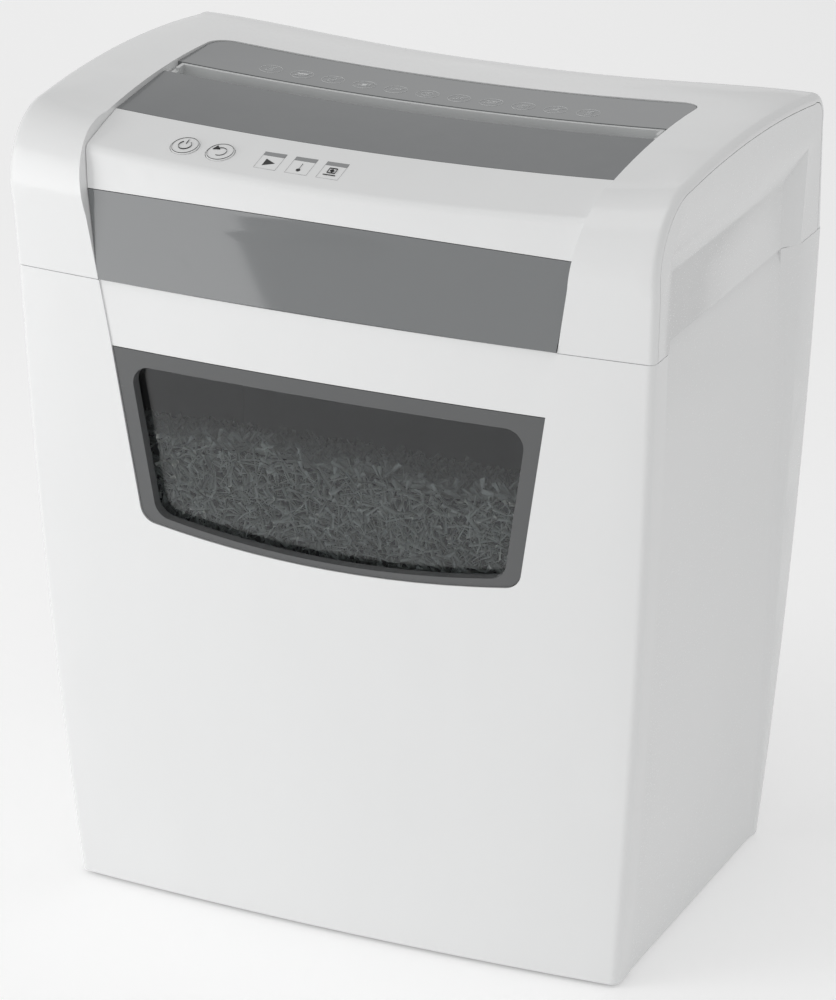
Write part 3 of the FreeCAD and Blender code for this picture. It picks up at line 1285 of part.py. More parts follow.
def rocker_paddle(face):
    """Paddle with its pivot pin, tipped to one side."""
    pivot = face - PIVOT_IN
    tip = PADDLE_HALF_H
    outline = [(-2, -3), (1.5, -tip), (4.5, -tip), (3.6, 0), (4.5, tip), (1.5, tip), (-2, 3)]
    points = [(pivot + y, INLET_Z + z) for y, z in outline]
    paddle = plate_yz(points, ROCKER_X - PADDLE_HALF, ROCKER_X + PADDLE_HALF)
    pin = rod(ROCKER_X - ROCKER_PIN_HALF, ROCKER_X + ROCKER_PIN_HALF, pivot, INLET_Z, ROCKER_PIN_R)
    paddle = paddle.fuse(pin)
    paddle.rotate(V(ROCKER_X, pivot, INLET_Z), V(1, 0, 0), -ROCKER_TILT)
    return paddle.removeSplitter()


def rear_electrics(cover):
    """Mains inlet and rocker switch, each set into a pocket of the rear wall."""
    face = REAR_Y - SOCKET_SET
    put("mains_inlet", mains_inlet(face))
    put("rocker_frame", rocker_frame(face))
    put("rocker_paddle", rocker_paddle(face))
    return cover.cut([pocket(INLET_X, INLET_HALF_W, face), pocket(ROCKER_X, ROCKER_HALF, face)])


def vents(cover):
    """Rows of cooling slots behind the motor."""
    slots = []
    for row in range(VENT_ROWS):
        for column in range(VENT_COLUMNS):
            x = VENT_X + column * VENT_PITCH_X
            z = VENT_Z + row * VENT_PITCH_Z
            slots.append(box(x, x + VENT_W, REAR_Y - 16, REAR_Y + 5, z, z + VENT_H))
    return cover.cut(slots)


def control_board():
    """Board on four posts, with its transformer, relay, capacitors and connector."""
    x0, x1 = CONTROL_X0, CONTROL_X1
    y1 = SHAFT_A_Y - ROD_LOW_OUT - CONTROL_GAP
    y0 = y1 - CONTROL_W
    z = TRAY_TOP + CONTROL_LIFT
    top = z + BOARD_T
    put("control_board", box(x0, x1, y0, y1, z, top))
    bosses = [post(x, y, TRAY_TOP, z, CONTROL_BOSS_R) for x in (x0 + 6, x1 - 6) for y in (y0 + 5, y1 - 5)]
    put("board_posts", group(bosses + button_board_posts()))
    put("board_parts", group([
        box(x0 + 8, x0 + 28, y0 + 4, y0 + 20, top, top + 16),
        box(x0 + 34, x0 + 52, y0 + 6, y0 + 22, top, top + 12),
        post(x0 + 64, y0 + 14, top, top + 22, 8.0), post(x0 + 78, y0 + 24, top, top + 14, 4.0),
        box(x0 + 10, x0 + 42, y0 + 24, y0 + 30, top, top + 9)]))


# ---- assembly ------------------------------------------------------------------------------------
def build():
    put("bin_front_panel", bin_front_panel())
    put("window_frame", window_frame())
    put("window_pane", window_pane())
    put("bin_tub", bin_tub())
    put("shredded_paper", shredded_paper())
    wall = cabinet_side_wall()
    put("cabinet_right_wall", wall)
    put("cabinet_left_wall", mirror(wall))
    put("cabinet_rear_panel", cabinet_rear_panel())
    put("cabinet_base", cabinet_base())
    put("rubber_feet", feet())
    put("bin_runners", bin_runners())
    outer = head_body(0)
    inner = head_body(WALL)
    side = head_side_cover(outer)
    put("head_right_cover", side)
    put("head_left_cover", mirror(side))
    cover = vents(rear_electrics(head_top_cover(outer, inner)))
    put("head_top_cover", cover)
    put("head_bottom_tray", bottom_tray(head_body(WALL + SEAT)))
    slab = centre_slab(0, PLATE_T)
    put("control_panel", control_panel(slab))
    put("front_band", centre_piece(slab, -160, 0, SEAM_Z + GAP, BAND_TOP_Z - GAP / 2, GAP))
    put("front_top_plate", centre_piece(slab, PLATE_FRONT_Y + GAP / 2, SLOT_FRONT_Y, SHAFT_Z, HEIGHT, GAP))
    put("rear_top_plate", centre_piece(slab, SLOT_REAR_Y, PLATE_REAR_Y, SHAFT_Z, HEIGHT, GAP))
    put("centre_frame", centre_frame())
    put("feed_throat", feed_throat())
    put("power_button", on_panel(button(), POWER_X, CONTROL_Y))
    put("reverse_button", on_panel(button(), REVERSE_X, CONTROL_Y))
    put("indicator_lenses", indicator_lenses())
    put("button_board", button_board())
    put("cutter_shaft_front", cutter_shaft(SHAFT_A_Y, P1[0] - 0.5))
    put("cutter_shaft_rear", cutter_shaft(SHAFT_B_Y, P2[0] - 0.5))
    put("cutter_discs_front", disc_stack(SHAFT_A_Y, FIRST_A, DISC_COUNT, DISC_TWIST))
    put("cutter_discs_rear", disc_stack(SHAFT_B_Y, FIRST_B, DISC_COUNT, -DISC_TWIST))
    put("stripper_comb_front", stripper_comb(SHAFT_A_Y, -1, FIRST_A, DISC_COUNT - 1))
    put("stripper_comb_rear", stripper_comb(SHAFT_B_Y, 1, FIRST_B, DISC_COUNT - 1))
    put("tie_rods", tie_rods())
    put("left_side_plate", left_side_plate())
    put("right_side_plate", right_side_plate())
    put("shaft_bushes", shaft_bushes())
    build_gears()
    put("gear_plate", gear_plate())
    put("spacer_posts", group(gear_posts() + motor_posts()))
    motor()
    put("switches", group([sensor(), interlock()] + tact_switches()))
    control_board()
    put("rear_screws", rear_screws())


def main():
    build()
    os.makedirs("parts", exist_ok=True)
    for name, shape in PARTS.items():
        shape.exportStep("parts/" + name + ".step")
        print(name, len(shape.Solids), "solids", shape.isValid(), round(shape.Volume / 1000, 2), "cm3")


main()
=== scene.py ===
"""Looks of the paper shredder: glossy white housing, smoky plates and a bin window with shreds behind it.

All lengths are in metres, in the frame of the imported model: +Z up, front towards -Y.
"""

import json
import math

import bmesh
import bpy
import numpy
from mathutils import Matrix, Vector

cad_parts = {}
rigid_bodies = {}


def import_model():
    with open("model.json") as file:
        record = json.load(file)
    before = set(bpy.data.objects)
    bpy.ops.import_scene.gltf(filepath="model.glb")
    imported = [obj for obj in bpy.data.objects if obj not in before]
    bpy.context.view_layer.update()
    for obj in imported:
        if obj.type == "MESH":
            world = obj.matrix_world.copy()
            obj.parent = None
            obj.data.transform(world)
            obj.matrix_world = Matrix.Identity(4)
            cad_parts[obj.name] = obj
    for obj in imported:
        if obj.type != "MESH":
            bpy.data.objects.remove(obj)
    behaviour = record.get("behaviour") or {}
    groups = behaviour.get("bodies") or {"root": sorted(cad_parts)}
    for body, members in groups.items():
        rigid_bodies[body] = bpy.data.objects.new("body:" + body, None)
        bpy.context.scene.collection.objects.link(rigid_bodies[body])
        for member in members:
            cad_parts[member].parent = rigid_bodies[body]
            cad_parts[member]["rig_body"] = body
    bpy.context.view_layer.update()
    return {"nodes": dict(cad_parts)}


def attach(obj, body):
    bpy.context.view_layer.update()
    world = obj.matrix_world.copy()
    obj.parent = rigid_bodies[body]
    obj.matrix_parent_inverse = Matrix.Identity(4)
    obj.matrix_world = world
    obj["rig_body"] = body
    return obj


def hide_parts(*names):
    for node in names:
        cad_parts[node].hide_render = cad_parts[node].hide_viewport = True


MM = 0.001

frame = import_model()
scene = bpy.context.scene


# Camera

CAMERA_PLACE = (0.966, -2.0695, 1.150)
CAMERA_TURN = (67.71, 0.0, 25.06)
CAMERA_LENS = 164.5

camera = bpy.data.objects.new("camera", bpy.data.cameras.new("camera"))
scene.collection.objects.link(camera)
camera.location = CAMERA_PLACE
camera.rotation_euler = [math.radians(turn) for turn in CAMERA_TURN]
camera.data.lens = CAMERA_LENS
scene.camera = camera


# Node helpers


def add(tree, kind, values=None, **settings):
    """Adds one node. A socket among its values is linked, and anything else is set."""
    made = tree.nodes.new(kind)
    for name, value in settings.items():
        setattr(made, name, value)
    for key, value in (values or {}).items():
        if isinstance(value, bpy.types.NodeSocket):
            tree.links.new(value, made.inputs[key])
        else:
            made.inputs[key].default_value = value
    return made


def new_tree(name, kind, inputs, outputs):
    """A node group with named inputs (name, type, value) and outputs (name, type)."""
    tree = bpy.data.node_groups.new(name, kind)
    for label, socket, value in inputs:
        made = tree.interface.new_socket(name=label, in_out="INPUT", socket_type="NodeSocket" + socket)
        if value is not None:
            made.default_value = value
    for label, socket in outputs:
        tree.interface.new_socket(name=label, in_out="OUTPUT", socket_type="NodeSocket" + socket)
    return tree, tree.nodes.new("NodeGroupInput").outputs, tree.nodes.new("NodeGroupOutput").inputs


def maths(tree, operation, first, second=0.0, clamp=False):
    """The result of one sum on two values."""
    return add(
        tree, "ShaderNodeMath", {0: first, 1: second}, operation=operation, use_clamp=clamp
    ).outputs[0]


def spread(tree, value, low, high, to_low, to_high):
    """A value moved from one range to another, and held inside it."""
    values = {"Value": value, "From Min": low, "From Max": high, "To Min": to_low, "To Max": to_high}
    return add(tree, "ShaderNodeMapRange", values).outputs["Result"]


def mixed(tree, share, first, second, way="MIX"):
    """Two colours mixed by a share from 0 to 1."""
    values = {0: share, 6: first, 7: second}
    return add(tree, "ShaderNodeMix", values, data_type="RGBA", blend_type=way).outputs[2]


def noise(tree, place, scale, detail=2.0, roughness=0.5):
    """Noise from 0 to 1 at a place, with about scale lumps a metre."""
    values = {"Vector": place, "Scale": scale, "Detail": detail, "Roughness": roughness}
    return add(tree, "ShaderNodeTexNoise", values).outputs["Fac"]


def stretched(tree, place, turn, scale):
    """A place turned by Euler angles in degrees and stretched, for streaks."""
    values = {"Vector": place, "Rotation": [math.radians(a) for a in turn], "Scale": scale}
    return add(tree, "ShaderNodeMapping", values).outputs["Vector"]


# Shared surface effects


def make_moulded_skin():
    """Moulded plastic: a slow drift of shade and gloss, and the fine grain of the tool."""
    tree, given, result = new_tree(
        "moulded_skin",
        "ShaderNodeTree",
        [
            ("Place", "Vector", None),
            ("Colour", "Color", (0.8, 0.8, 0.8, 1.0)),
            ("Shade Drift", "Float", 0.03),
            ("Roughness", "Float", 0.2),
            ("Gloss Drift", "Float", 0.05),
            ("Grain Scale", "Float", 900.0),
            ("Grain Depth", "Float", 0.5),
        ],
        [("Colour", "Color"), ("Roughness", "Float"), ("Height", "Float")],
    )
    slow = noise(tree, given["Place"], 11.0, 3.0, 0.6)
    flow = noise(tree, stretched(tree, given["Place"], (0, 0, 0), (1.0, 1.0, 0.25)), 34.0, 2.0)
    drift = maths(tree, "ADD", maths(tree, "SUBTRACT", slow, 0.5), maths(tree, "SUBTRACT", flow, 0.5))
    darker = mixed(
        tree, maths(tree, "MULTIPLY", given["Shade Drift"], 1.0), given["Colour"], (0.25, 0.26, 0.25, 1.0)
    )
    share = spread(tree, drift, -0.35, 0.35, 0.0, 1.0)
    tree.links.new(mixed(tree, share, given["Colour"], darker), result["Colour"])
    gloss = maths(tree, "MULTIPLY", drift, given["Gloss Drift"])
    tree.links.new(maths(tree, "ADD", given["Roughness"], gloss, True), result["Roughness"])
    grain = maths(
        tree, "MULTIPLY", noise(tree, given["Place"], given["Grain Scale"], 2.0), given["Grain Depth"]
    )
    ripple = maths(tree, "MULTIPLY", noise(tree, given["Place"], 60.0, 1.0), 0.5)
    tree.links.new(maths(tree, "ADD", grain, ripple), result["Height"])
    return tree


def make_settled_dust():
    """Fine dust that lies on what faces up."""
    tree, given, result = new_tree(
        "settled_dust",
        "ShaderNodeTree",
        [
            ("Place", "Vector", None),
            ("Colour", "Color", (0.8, 0.8, 0.8, 1.0)),
            ("Roughness", "Float", 0.2),
            ("Dust Colour", "Color", (0.6, 0.59, 0.56, 1.0)),
            ("Amount", "Float", 0.1),
        ],
        [("Colour", "Color"), ("Roughness", "Float")],
    )
    facing = add(
        tree, "ShaderNodeSeparateXYZ", {0: add(tree, "ShaderNodeNewGeometry").outputs["Normal"]}
    ).outputs[2]
    up = spread(tree, facing, 0.3, 1.0, 0.0, 1.0)
    cloud = spread(tree, noise(tree, given["Place"], 75.0, 5.0, 0.7), 0.35, 0.75, 0.0, 1.0)
    cover = maths(tree, "MULTIPLY", cloud, maths(tree, "MULTIPLY", up, given["Amount"]))
    tree.links.new(mixed(tree, cover, given["Colour"], given["Dust Colour"]), result["Colour"])
    dull = maths(tree, "MULTIPLY", cover, 0.6)
    tree.links.new(maths(tree, "ADD", given["Roughness"], dull, True), result["Roughness"])
    return tree


def make_hairlines():
    """Hairline scratches and wiping marks on something polished."""
    tree, given, result = new_tree(
        "hairlines",
        "ShaderNodeTree",
        [("Place", "Vector", None), ("Roughness", "Float", 0.1), ("Amount", "Float", 0.3)],
        [("Roughness", "Float"), ("Height", "Float")],
    )
    first = noise(tree, stretched(tree, given["Place"], (0, 0, 24), (1.0, 45.0, 45.0)), 26.0, 1.0)
    second = noise(tree, stretched(tree, given["Place"], (0, 35, -52), (1.0, 38.0, 38.0)), 31.0, 1.0)
    lines = maths(
        tree, "MAXIMUM", spread(tree, first, 0.66, 0.74, 0.0, 1.0),
        spread(tree, second, 0.68, 0.75, 0.0, 1.0)
    )
    wiped = spread(
        tree, noise(tree, stretched(tree, given["Place"], (0, 0, 8), (0.3, 1.0, 1.0)), 38.0, 3.0), 0.35,
        0.7, 0.0, 0.5
    )
    marks = maths(tree, "MULTIPLY", maths(tree, "ADD", lines, wiped), given["Amount"])
    tree.links.new(
        maths(tree, "ADD", given["Roughness"], maths(tree, "MULTIPLY", marks, 0.25), True),
        result["Roughness"]
    )
    tree.links.new(maths(tree, "MULTIPLY", lines, given["Amount"]), result["Height"])
    return tree


def make_cut_metal():
    """Cut, drawn or plated metal: streaks along one direction, and patches of oil and tarnish."""
    tree, given, result = new_tree(
        "cut_metal",
        "ShaderNodeTree",
        [
            ("Place", "Vector", None),
            ("Colour", "Color", (0.6, 0.6, 0.6, 1.0)),
            ("Tarnish", "Color", (0.3, 0.28, 0.26, 1.0)),
            ("Tarnish Amount", "Float", 0.3),
            ("Roughness", "Float", 0.3),
            ("Streak Scale", "Float", 300.0),
        ],
        [("Colour", "Color"), ("Roughness", "Float"), ("Height", "Float")],
    )
    streaks = noise(
        tree, stretched(tree, given["Place"], (0, 0, 0), (6.0, 0.4, 6.0)), given["Streak Scale"], 2.0
    )
    patches = spread(tree, noise(tree, given["Place"], 120.0, 4.0, 0.65), 0.42, 0.72, 0.0, 1.0)
    share = maths(tree, "MULTIPLY", patches, given["Tarnish Amount"])
    shaded = mixed(tree, spread(tree, streaks, 0.3, 0.7, 0.0, 0.25), given["Colour"], (0.2, 0.2, 0.2, 1.0))
    tree.links.new(mixed(tree, share, shaded, given["Tarnish"]), result["Colour"])
    rough = maths(
        tree, "ADD", given["Roughness"],
        maths(tree, "MULTIPLY", maths(tree, "ADD", streaks, patches), 0.12), True
    )
    tree.links.new(rough, result["Roughness"])
    tree.links.new(streaks, result["Height"])
    return tree


MOULDED_SKIN = make_moulded_skin()
SETTLED_DUST = make_settled_dust()
HAIRLINES = make_hairlines()
CUT_METAL = make_cut_metal()


# Materials


def new_material(name):
    """An empty material, with its Object coordinates and its output."""
    material = bpy.data.materials.new(name)
    material.use_nodes = True
    tree = material.node_tree
    tree.nodes.clear()
    place = add(tree, "ShaderNodeTexCoord").outputs["Object"]
    return material, tree, place


def close_material(tree, shader):
    add(tree, "ShaderNodeOutputMaterial", {"Surface": shader.outputs[0]})


def effect(tree, group, values):
    made = tree.nodes.new("ShaderNodeGroup")
    made.node_tree = group
    for key, value in values.items():
        if isinstance(value, bpy.types.NodeSocket):
            tree.links.new(value, made.inputs[key])
        else:
            made.inputs[key].default_value = value
    return made.outputs


def rgb(red, green, blue):
    return (red, green, blue, 1.0)


def moulded(name, colour, roughness, grain=900.0, grain_depth=0.5, bump=0.02, drift=0.03,
            gloss_drift=0.05, dust=0.1, dust_colour=rgb(0.6, 0.59, 0.56), scratches=0.15, coat=0.0):
    """Moulded plastic or rubber, from polished to dull."""
    material, tree, place = new_material(name)
    skin = effect(tree, MOULDED_SKIN, {
        "Place": place, "Colour": colour, "Shade Drift": drift, "Roughness": roughness,
        "Gloss Drift": gloss_drift, "Grain Scale": grain, "Grain Depth": grain_depth,
    })
    dusty = effect(tree, SETTLED_DUST, {
        "Place": place, "Colour": skin["Colour"], "Roughness": skin["Roughness"],
        "Dust Colour": dust_colour, "Amount": dust,
    })
    wiped = effect(tree, HAIRLINES, {"Place": place, "Roughness": dusty["Roughness"], "Amount": scratches})
    height = maths(tree, "SUBTRACT", skin["Height"], maths(tree, "MULTIPLY", wiped["Height"], 0.4))
    normal = add(
        tree, "ShaderNodeBump", {"Strength": bump, "Distance": 0.0005, "Height": height}
    ).outputs[0]
    shader = add(tree, "ShaderNodeBsdfPrincipled", {
        "Base Color": dusty["Colour"], "Roughness": wiped["Roughness"], "Normal": normal,
        "Coat Weight": coat, "Coat Roughness": 0.05,
    })
    close_material(tree, shader)
    return material


def metal(
    name, colour, roughness, tarnish=rgb(0.3, 0.28, 0.26), tarnish_amount=0.3, streaks=300.0, metallic=1.0
):
    """Steel, zinc or bronze with the marks of how it was cut."""
    material, tree, place = new_material(name)
    cut = effect(tree, CUT_METAL, {
        "Place": place, "Colour": colour, "Tarnish": tarnish, "Tarnish Amount": tarnish_amount,
        "Roughness": roughness, "Streak Scale": streaks,
    })
    dusty = effect(tree, SETTLED_DUST, {
        "Place": place, "Colour": cut["Colour"], "Roughness": cut["Roughness"],
        "Dust Colour": rgb(0.55, 0.55, 0.53), "Amount": 0.25,
    })
    normal = add(
        tree, "ShaderNodeBump", {"Strength": 0.08, "Distance": 0.0002, "Height": cut["Height"]}
    ).outputs[0]
    shader = add(tree, "ShaderNodeBsdfPrincipled", {
        "Base Color": dusty["Colour"], "Roughness": dusty[
            "Roughness"
        ], "Normal": normal, "Metallic": metallic,
    })
    close_material(tree, shader)
    return material


def make_smoke_glass():
    """The tinted window: clear plastic with a smoke tint, and paper dust clinging to it."""
    material, tree, place = new_material("smoke_glass")
    wiped = effect(tree, HAIRLINES, {"Place": place, "Roughness": 0.0, "Amount": 0.05})
    cling = spread(tree, noise(tree, place, 28.0, 4.0, 0.6), 0.4, 0.75, 0.0, 1.0)
    tint = mixed(tree, cling, rgb(0.58, 0.61, 0.63), rgb(0.55, 0.58, 0.60))
    normal = add(
        tree, "ShaderNodeBump", {"Strength": 0.02, "Distance": 0.0002, "Height": wiped["Height"]}
    ).outputs[0]
    shader = add(tree, "ShaderNodeBsdfPrincipled", {
        "Base Color": tint, "Roughness": wiped["Roughness"], "Normal": normal,
        "Transmission Weight": 1.0, "IOR": 1.49,
    })
    close_material(tree, shader)
    return material


def make_shred_paper():
    """Office paper: warm white to grey strips, with fibres and scraps of faint print, and near-black
    painted shade on the heap's core between the strips.
    """
    material, tree, place = new_material("shred_paper")
    tone = add(tree, "ShaderNodeAttribute", attribute_name="tone", attribute_type="GEOMETRY").outputs["Fac"]
    white = mixed(tree, tone, rgb(0.80, 0.81, 0.77), rgb(0.52, 0.55, 0.51))
    print_rows = noise(tree, stretched(tree, place, (0, 0, 30), (1.0, 5.0, 5.0)), 170.0, 3.0, 0.7)
    printed = maths(
        tree, "MULTIPLY", spread(tree, print_rows, 0.58, 0.64, 0.0, 0.5),
        spread(tree, tone, 0.4, 0.6, 0.0, 1.0)
    )
    inked = mixed(tree, printed, white, rgb(0.2, 0.21, 0.22))
    # On the heap's core the paper is painted near-black: painted shade for the shadow deep between the
    # strips.
    depth = add(
        tree, "ShaderNodeAttribute", attribute_name="depth", attribute_type="GEOMETRY"
    ).outputs["Fac"]
    painted_shade_colour = mixed(tree, depth, inked, rgb(0.06, 0.065, 0.07))
    fibres = noise(tree, place, 2400.0, 3.0, 0.7)
    spotted = mixed(tree, spread(tree, fibres, 0.35, 0.7, 0.0, 0.14), painted_shade_colour, rgb(0.5, 0.5, 0.47))
    normal = add(tree, "ShaderNodeBump", {"Strength": 0.2, "Distance": 0.0002, "Height": fibres}).outputs[0]
    rough = spread(tree, fibres, 0.3, 0.7, 0.8, 0.95)
    shader = add(tree, "ShaderNodeBsdfPrincipled", {
        "Base Color": spotted, "Roughness": rough, "Normal": normal, "Specular IOR Level": 0.25,
    })
    close_material(tree, shader)
    return material


WHITE = rgb(0.86, 0.865, 0.865)
MATERIALS = {
    "white_gloss": moulded("white_gloss", WHITE, 0.2, bump=0.03, drift=0.02, gloss_drift=0.06, dust=0.03),
    "white_side": moulded("white_side", rgb(0.85, 0.855, 0.855), 0.24, bump=0.02, drift=0.015, dust=0.02),
    "smoky_plate": moulded("smoky_plate", rgb(0.205, 0.212, 0.216), 0.05, bump=0.0, drift=0.05,
                           gloss_drift=0.01, dust=0.02, dust_colour=rgb(0.5, 0.5, 0.5), scratches=0.05),
    "window_frame_grey": moulded("window_frame_grey", rgb(0.115, 0.118, 0.12), 0.22, bump=0.03, dust=0.04),
    "smoke_glass": make_smoke_glass(),
    "throat_grey": moulded("throat_grey", rgb(0.66, 0.67, 0.67), 0.3, drift=0.05, dust=0.2),
    "tub_grey": moulded(
        "tub_grey", rgb(0.11, 0.113, 0.115), 0.45, grain=1500.0, bump=0.06, drift=0.1, dust=0.35
    ),
    "shred_paper": make_shred_paper(),
    "button_white": moulded("button_white", rgb(0.85, 0.855, 0.855), 0.3, bump=0.06, dust=0.03),
    "lens_grey": moulded("lens_grey", rgb(0.30, 0.305, 0.31), 0.12, bump=0.01, dust=0.02),
    "black_plastic": moulded(
        "black_plastic", rgb(0.018, 0.018, 0.019), 0.38, grain=1600.0, bump=0.2, dust=0.2
    ),
    "nylon": moulded("nylon", rgb(0.72, 0.70, 0.62), 0.42, grain=1300.0, bump=0.1, drift=0.1, dust=0.2),
    "board_green": moulded("board_green", rgb(0.02, 0.13, 0.05), 0.35, bump=0.1, drift=0.2, dust=0.2),
    "component_black": moulded("component_black", rgb(0.025, 0.025, 0.028), 0.4, bump=0.2, dust=0.25),
    "rubber_grey": moulded(
        "rubber_grey", rgb(0.07, 0.07, 0.072), 0.75, grain=700.0, grain_depth=1.0, bump=0.35, drift=0.2,
        dust=0.3
    ),
    "gear_steel": metal("gear_steel", rgb(0.5, 0.5, 0.51), 0.3),
    "hardened_steel": metal("hardened_steel", rgb(0.42, 0.42, 0.43), 0.26, tarnish=rgb(0.22, 0.2, 0.18)),
    "zinc_steel": metal(
        "zinc_steel", rgb(0.62, 0.63, 0.64), 0.34, tarnish=rgb(0.45, 0.45, 0.42), streaks=160.0
    ),
    "motor_steel": metal("motor_steel", rgb(0.52, 0.53, 0.54), 0.36, streaks=220.0),
    "bearing_bronze": metal("bearing_bronze", rgb(0.55, 0.36, 0.16), 0.34, tarnish=rgb(0.3, 0.18, 0.08)),
    "screw_steel": metal("screw_steel", rgb(0.3, 0.3, 0.31), 0.3),
    "black_ink": moulded("black_ink", rgb(0.02, 0.02, 0.021), 0.4, bump=0.05, dust=0.02),
    "grey_ink": moulded("grey_ink", rgb(0.48, 0.48, 0.48), 0.4, bump=0.05, dust=0.02),
    "white_ink": moulded("white_ink", rgb(0.8, 0.81, 0.81), 0.4, bump=0.05, dust=0.02),
}


# Finished copies of the CAD nodes

SHARP_EDGE = math.radians(28)
FLAT_EDGE = math.radians(0.4)
WELD = 2e-6


def welded(node):
    """A clean mesh of a CAD node: triangles joined, flats whole, edges smooth or sharp by their angle."""
    source = frame["nodes"][node].data
    mesh = bpy.data.meshes.new(node + "_finished")
    points = numpy.zeros(len(source.vertices) * 3)
    source.vertices.foreach_get("co", points)
    mesh.from_pydata(points.reshape(-1, 3).tolist(), [], [tuple(face.vertices) for face in source.polygons])
    made = bmesh.new()
    made.from_mesh(mesh)
    bmesh.ops.remove_doubles(made, verts=made.verts, dist=WELD)
    bmesh.ops.dissolve_limit(made, angle_limit=FLAT_EDGE, verts=made.verts, edges=made.edges)
    for face in made.faces:
        face.smooth = True
    for edge in made.edges:
        edge.smooth = not edge.is_manifold or edge.calc_face_angle(0.0) < SHARP_EDGE
    made.to_mesh(mesh)
    made.free()
    return mesh


def body_of(node):
    return frame["nodes"][node]["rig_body"]


def shown(name, mesh, body, material):
    """A finished piece at the origin that rides on a body."""
    piece = bpy.data.objects.new(name, mesh)
    scene.collection.objects.link(piece)
    mesh.materials.clear()
    mesh.materials.append(MATERIALS[material])
    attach(piece, body)
    return piece


def finish_node(node, material):
    """Shows a smooth copy of a CAD node in its place."""
    piece = shown(node + "_finished", welded(node), body_of(node), material)
    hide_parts(node)
    return piece


FINISHES = [
    ("white_gloss", "white_gloss", "bin_front_panel head_top_cover control_panel centre_frame"),
    (
        "white_side", "white_gloss",
        "cabinet_left_wall cabinet_right_wall cabinet_rear_panel head_left_cover head_right_cover"
    ),
    ("smoky_plate", "grey_gloss", "front_band front_top_plate rear_top_plate"),
    ("window_frame_grey", "dark_frame", "window_frame"),
    ("smoke_glass", "smoke_pane", "window_pane"),
    ("throat_grey", "throat_grey", "feed_throat"),
    ("tub_grey", "tub_grey", "bin_tub cabinet_base head_bottom_tray"),
    ("button_white", "button_white", "power_button reverse_button"),
    ("lens_grey", "lens_grey", "indicator_lenses"),
    (
        "black_plastic", "black_plastic",
        "mains_inlet rocker_frame rocker_paddle paper_sensor_lever sensor_bracket motor_fan "
        "interlock_plunger stripper_comb_front stripper_comb_rear"
    ),
    ("nylon", "nylon", "first_gear second_gear bin_runners board_posts"),
    ("board_green", "board_green", "control_board button_board"),
    ("component_black", "component_black", "board_parts switches"),
    ("rubber_grey", "rubber_grey", "rubber_feet"),
    ("gear_steel", "gear_steel", "drive_gear motor_pinion sync_gear_front sync_gear_rear"),
    (
        "hardened_steel", "hardened_steel",
        "cutter_discs_front cutter_discs_rear cutter_shaft_front cutter_shaft_rear"
    ),
    (
        "zinc_steel", "zinc_steel",
        "left_side_plate right_side_plate gear_plate tie_rods spacer_posts pivot_pins"
    ),
    ("motor_steel", "motor_steel", "motor_can motor_front_cap motor_rear_cap motor_rotor"),
    ("bearing_bronze", "bearing_bronze", "shaft_bushes"),
    ("screw_steel", "screw_steel", "rear_screws"),
]
finished = {}
for material, slot, nodes in FINISHES:
    for node in nodes.split():
        finished[node] = finish_node(node, material)


# Geometry Nodes


def grown(name, tree, base, values):
    """The plain mesh that a Geometry Nodes tree makes from a base mesh."""
    holder = bpy.data.objects.new(name + "_base", base)
    scene.collection.objects.link(holder)
    modifier = holder.modifiers.new(name, "NODES")
    modifier.node_group = tree
    for item in tree.interface.items_tree:
        if item.in_out == "INPUT" and item.name in values:
            modifier[item.identifier] = values[item.name]
    bpy.context.view_layer.update()
    result = bpy.data.meshes.new_from_object(holder.evaluated_get(bpy.context.evaluated_depsgraph_get()))
    result.name = name
    holder.modifiers.remove(modifier)
    bpy.data.objects.remove(holder)
    return result


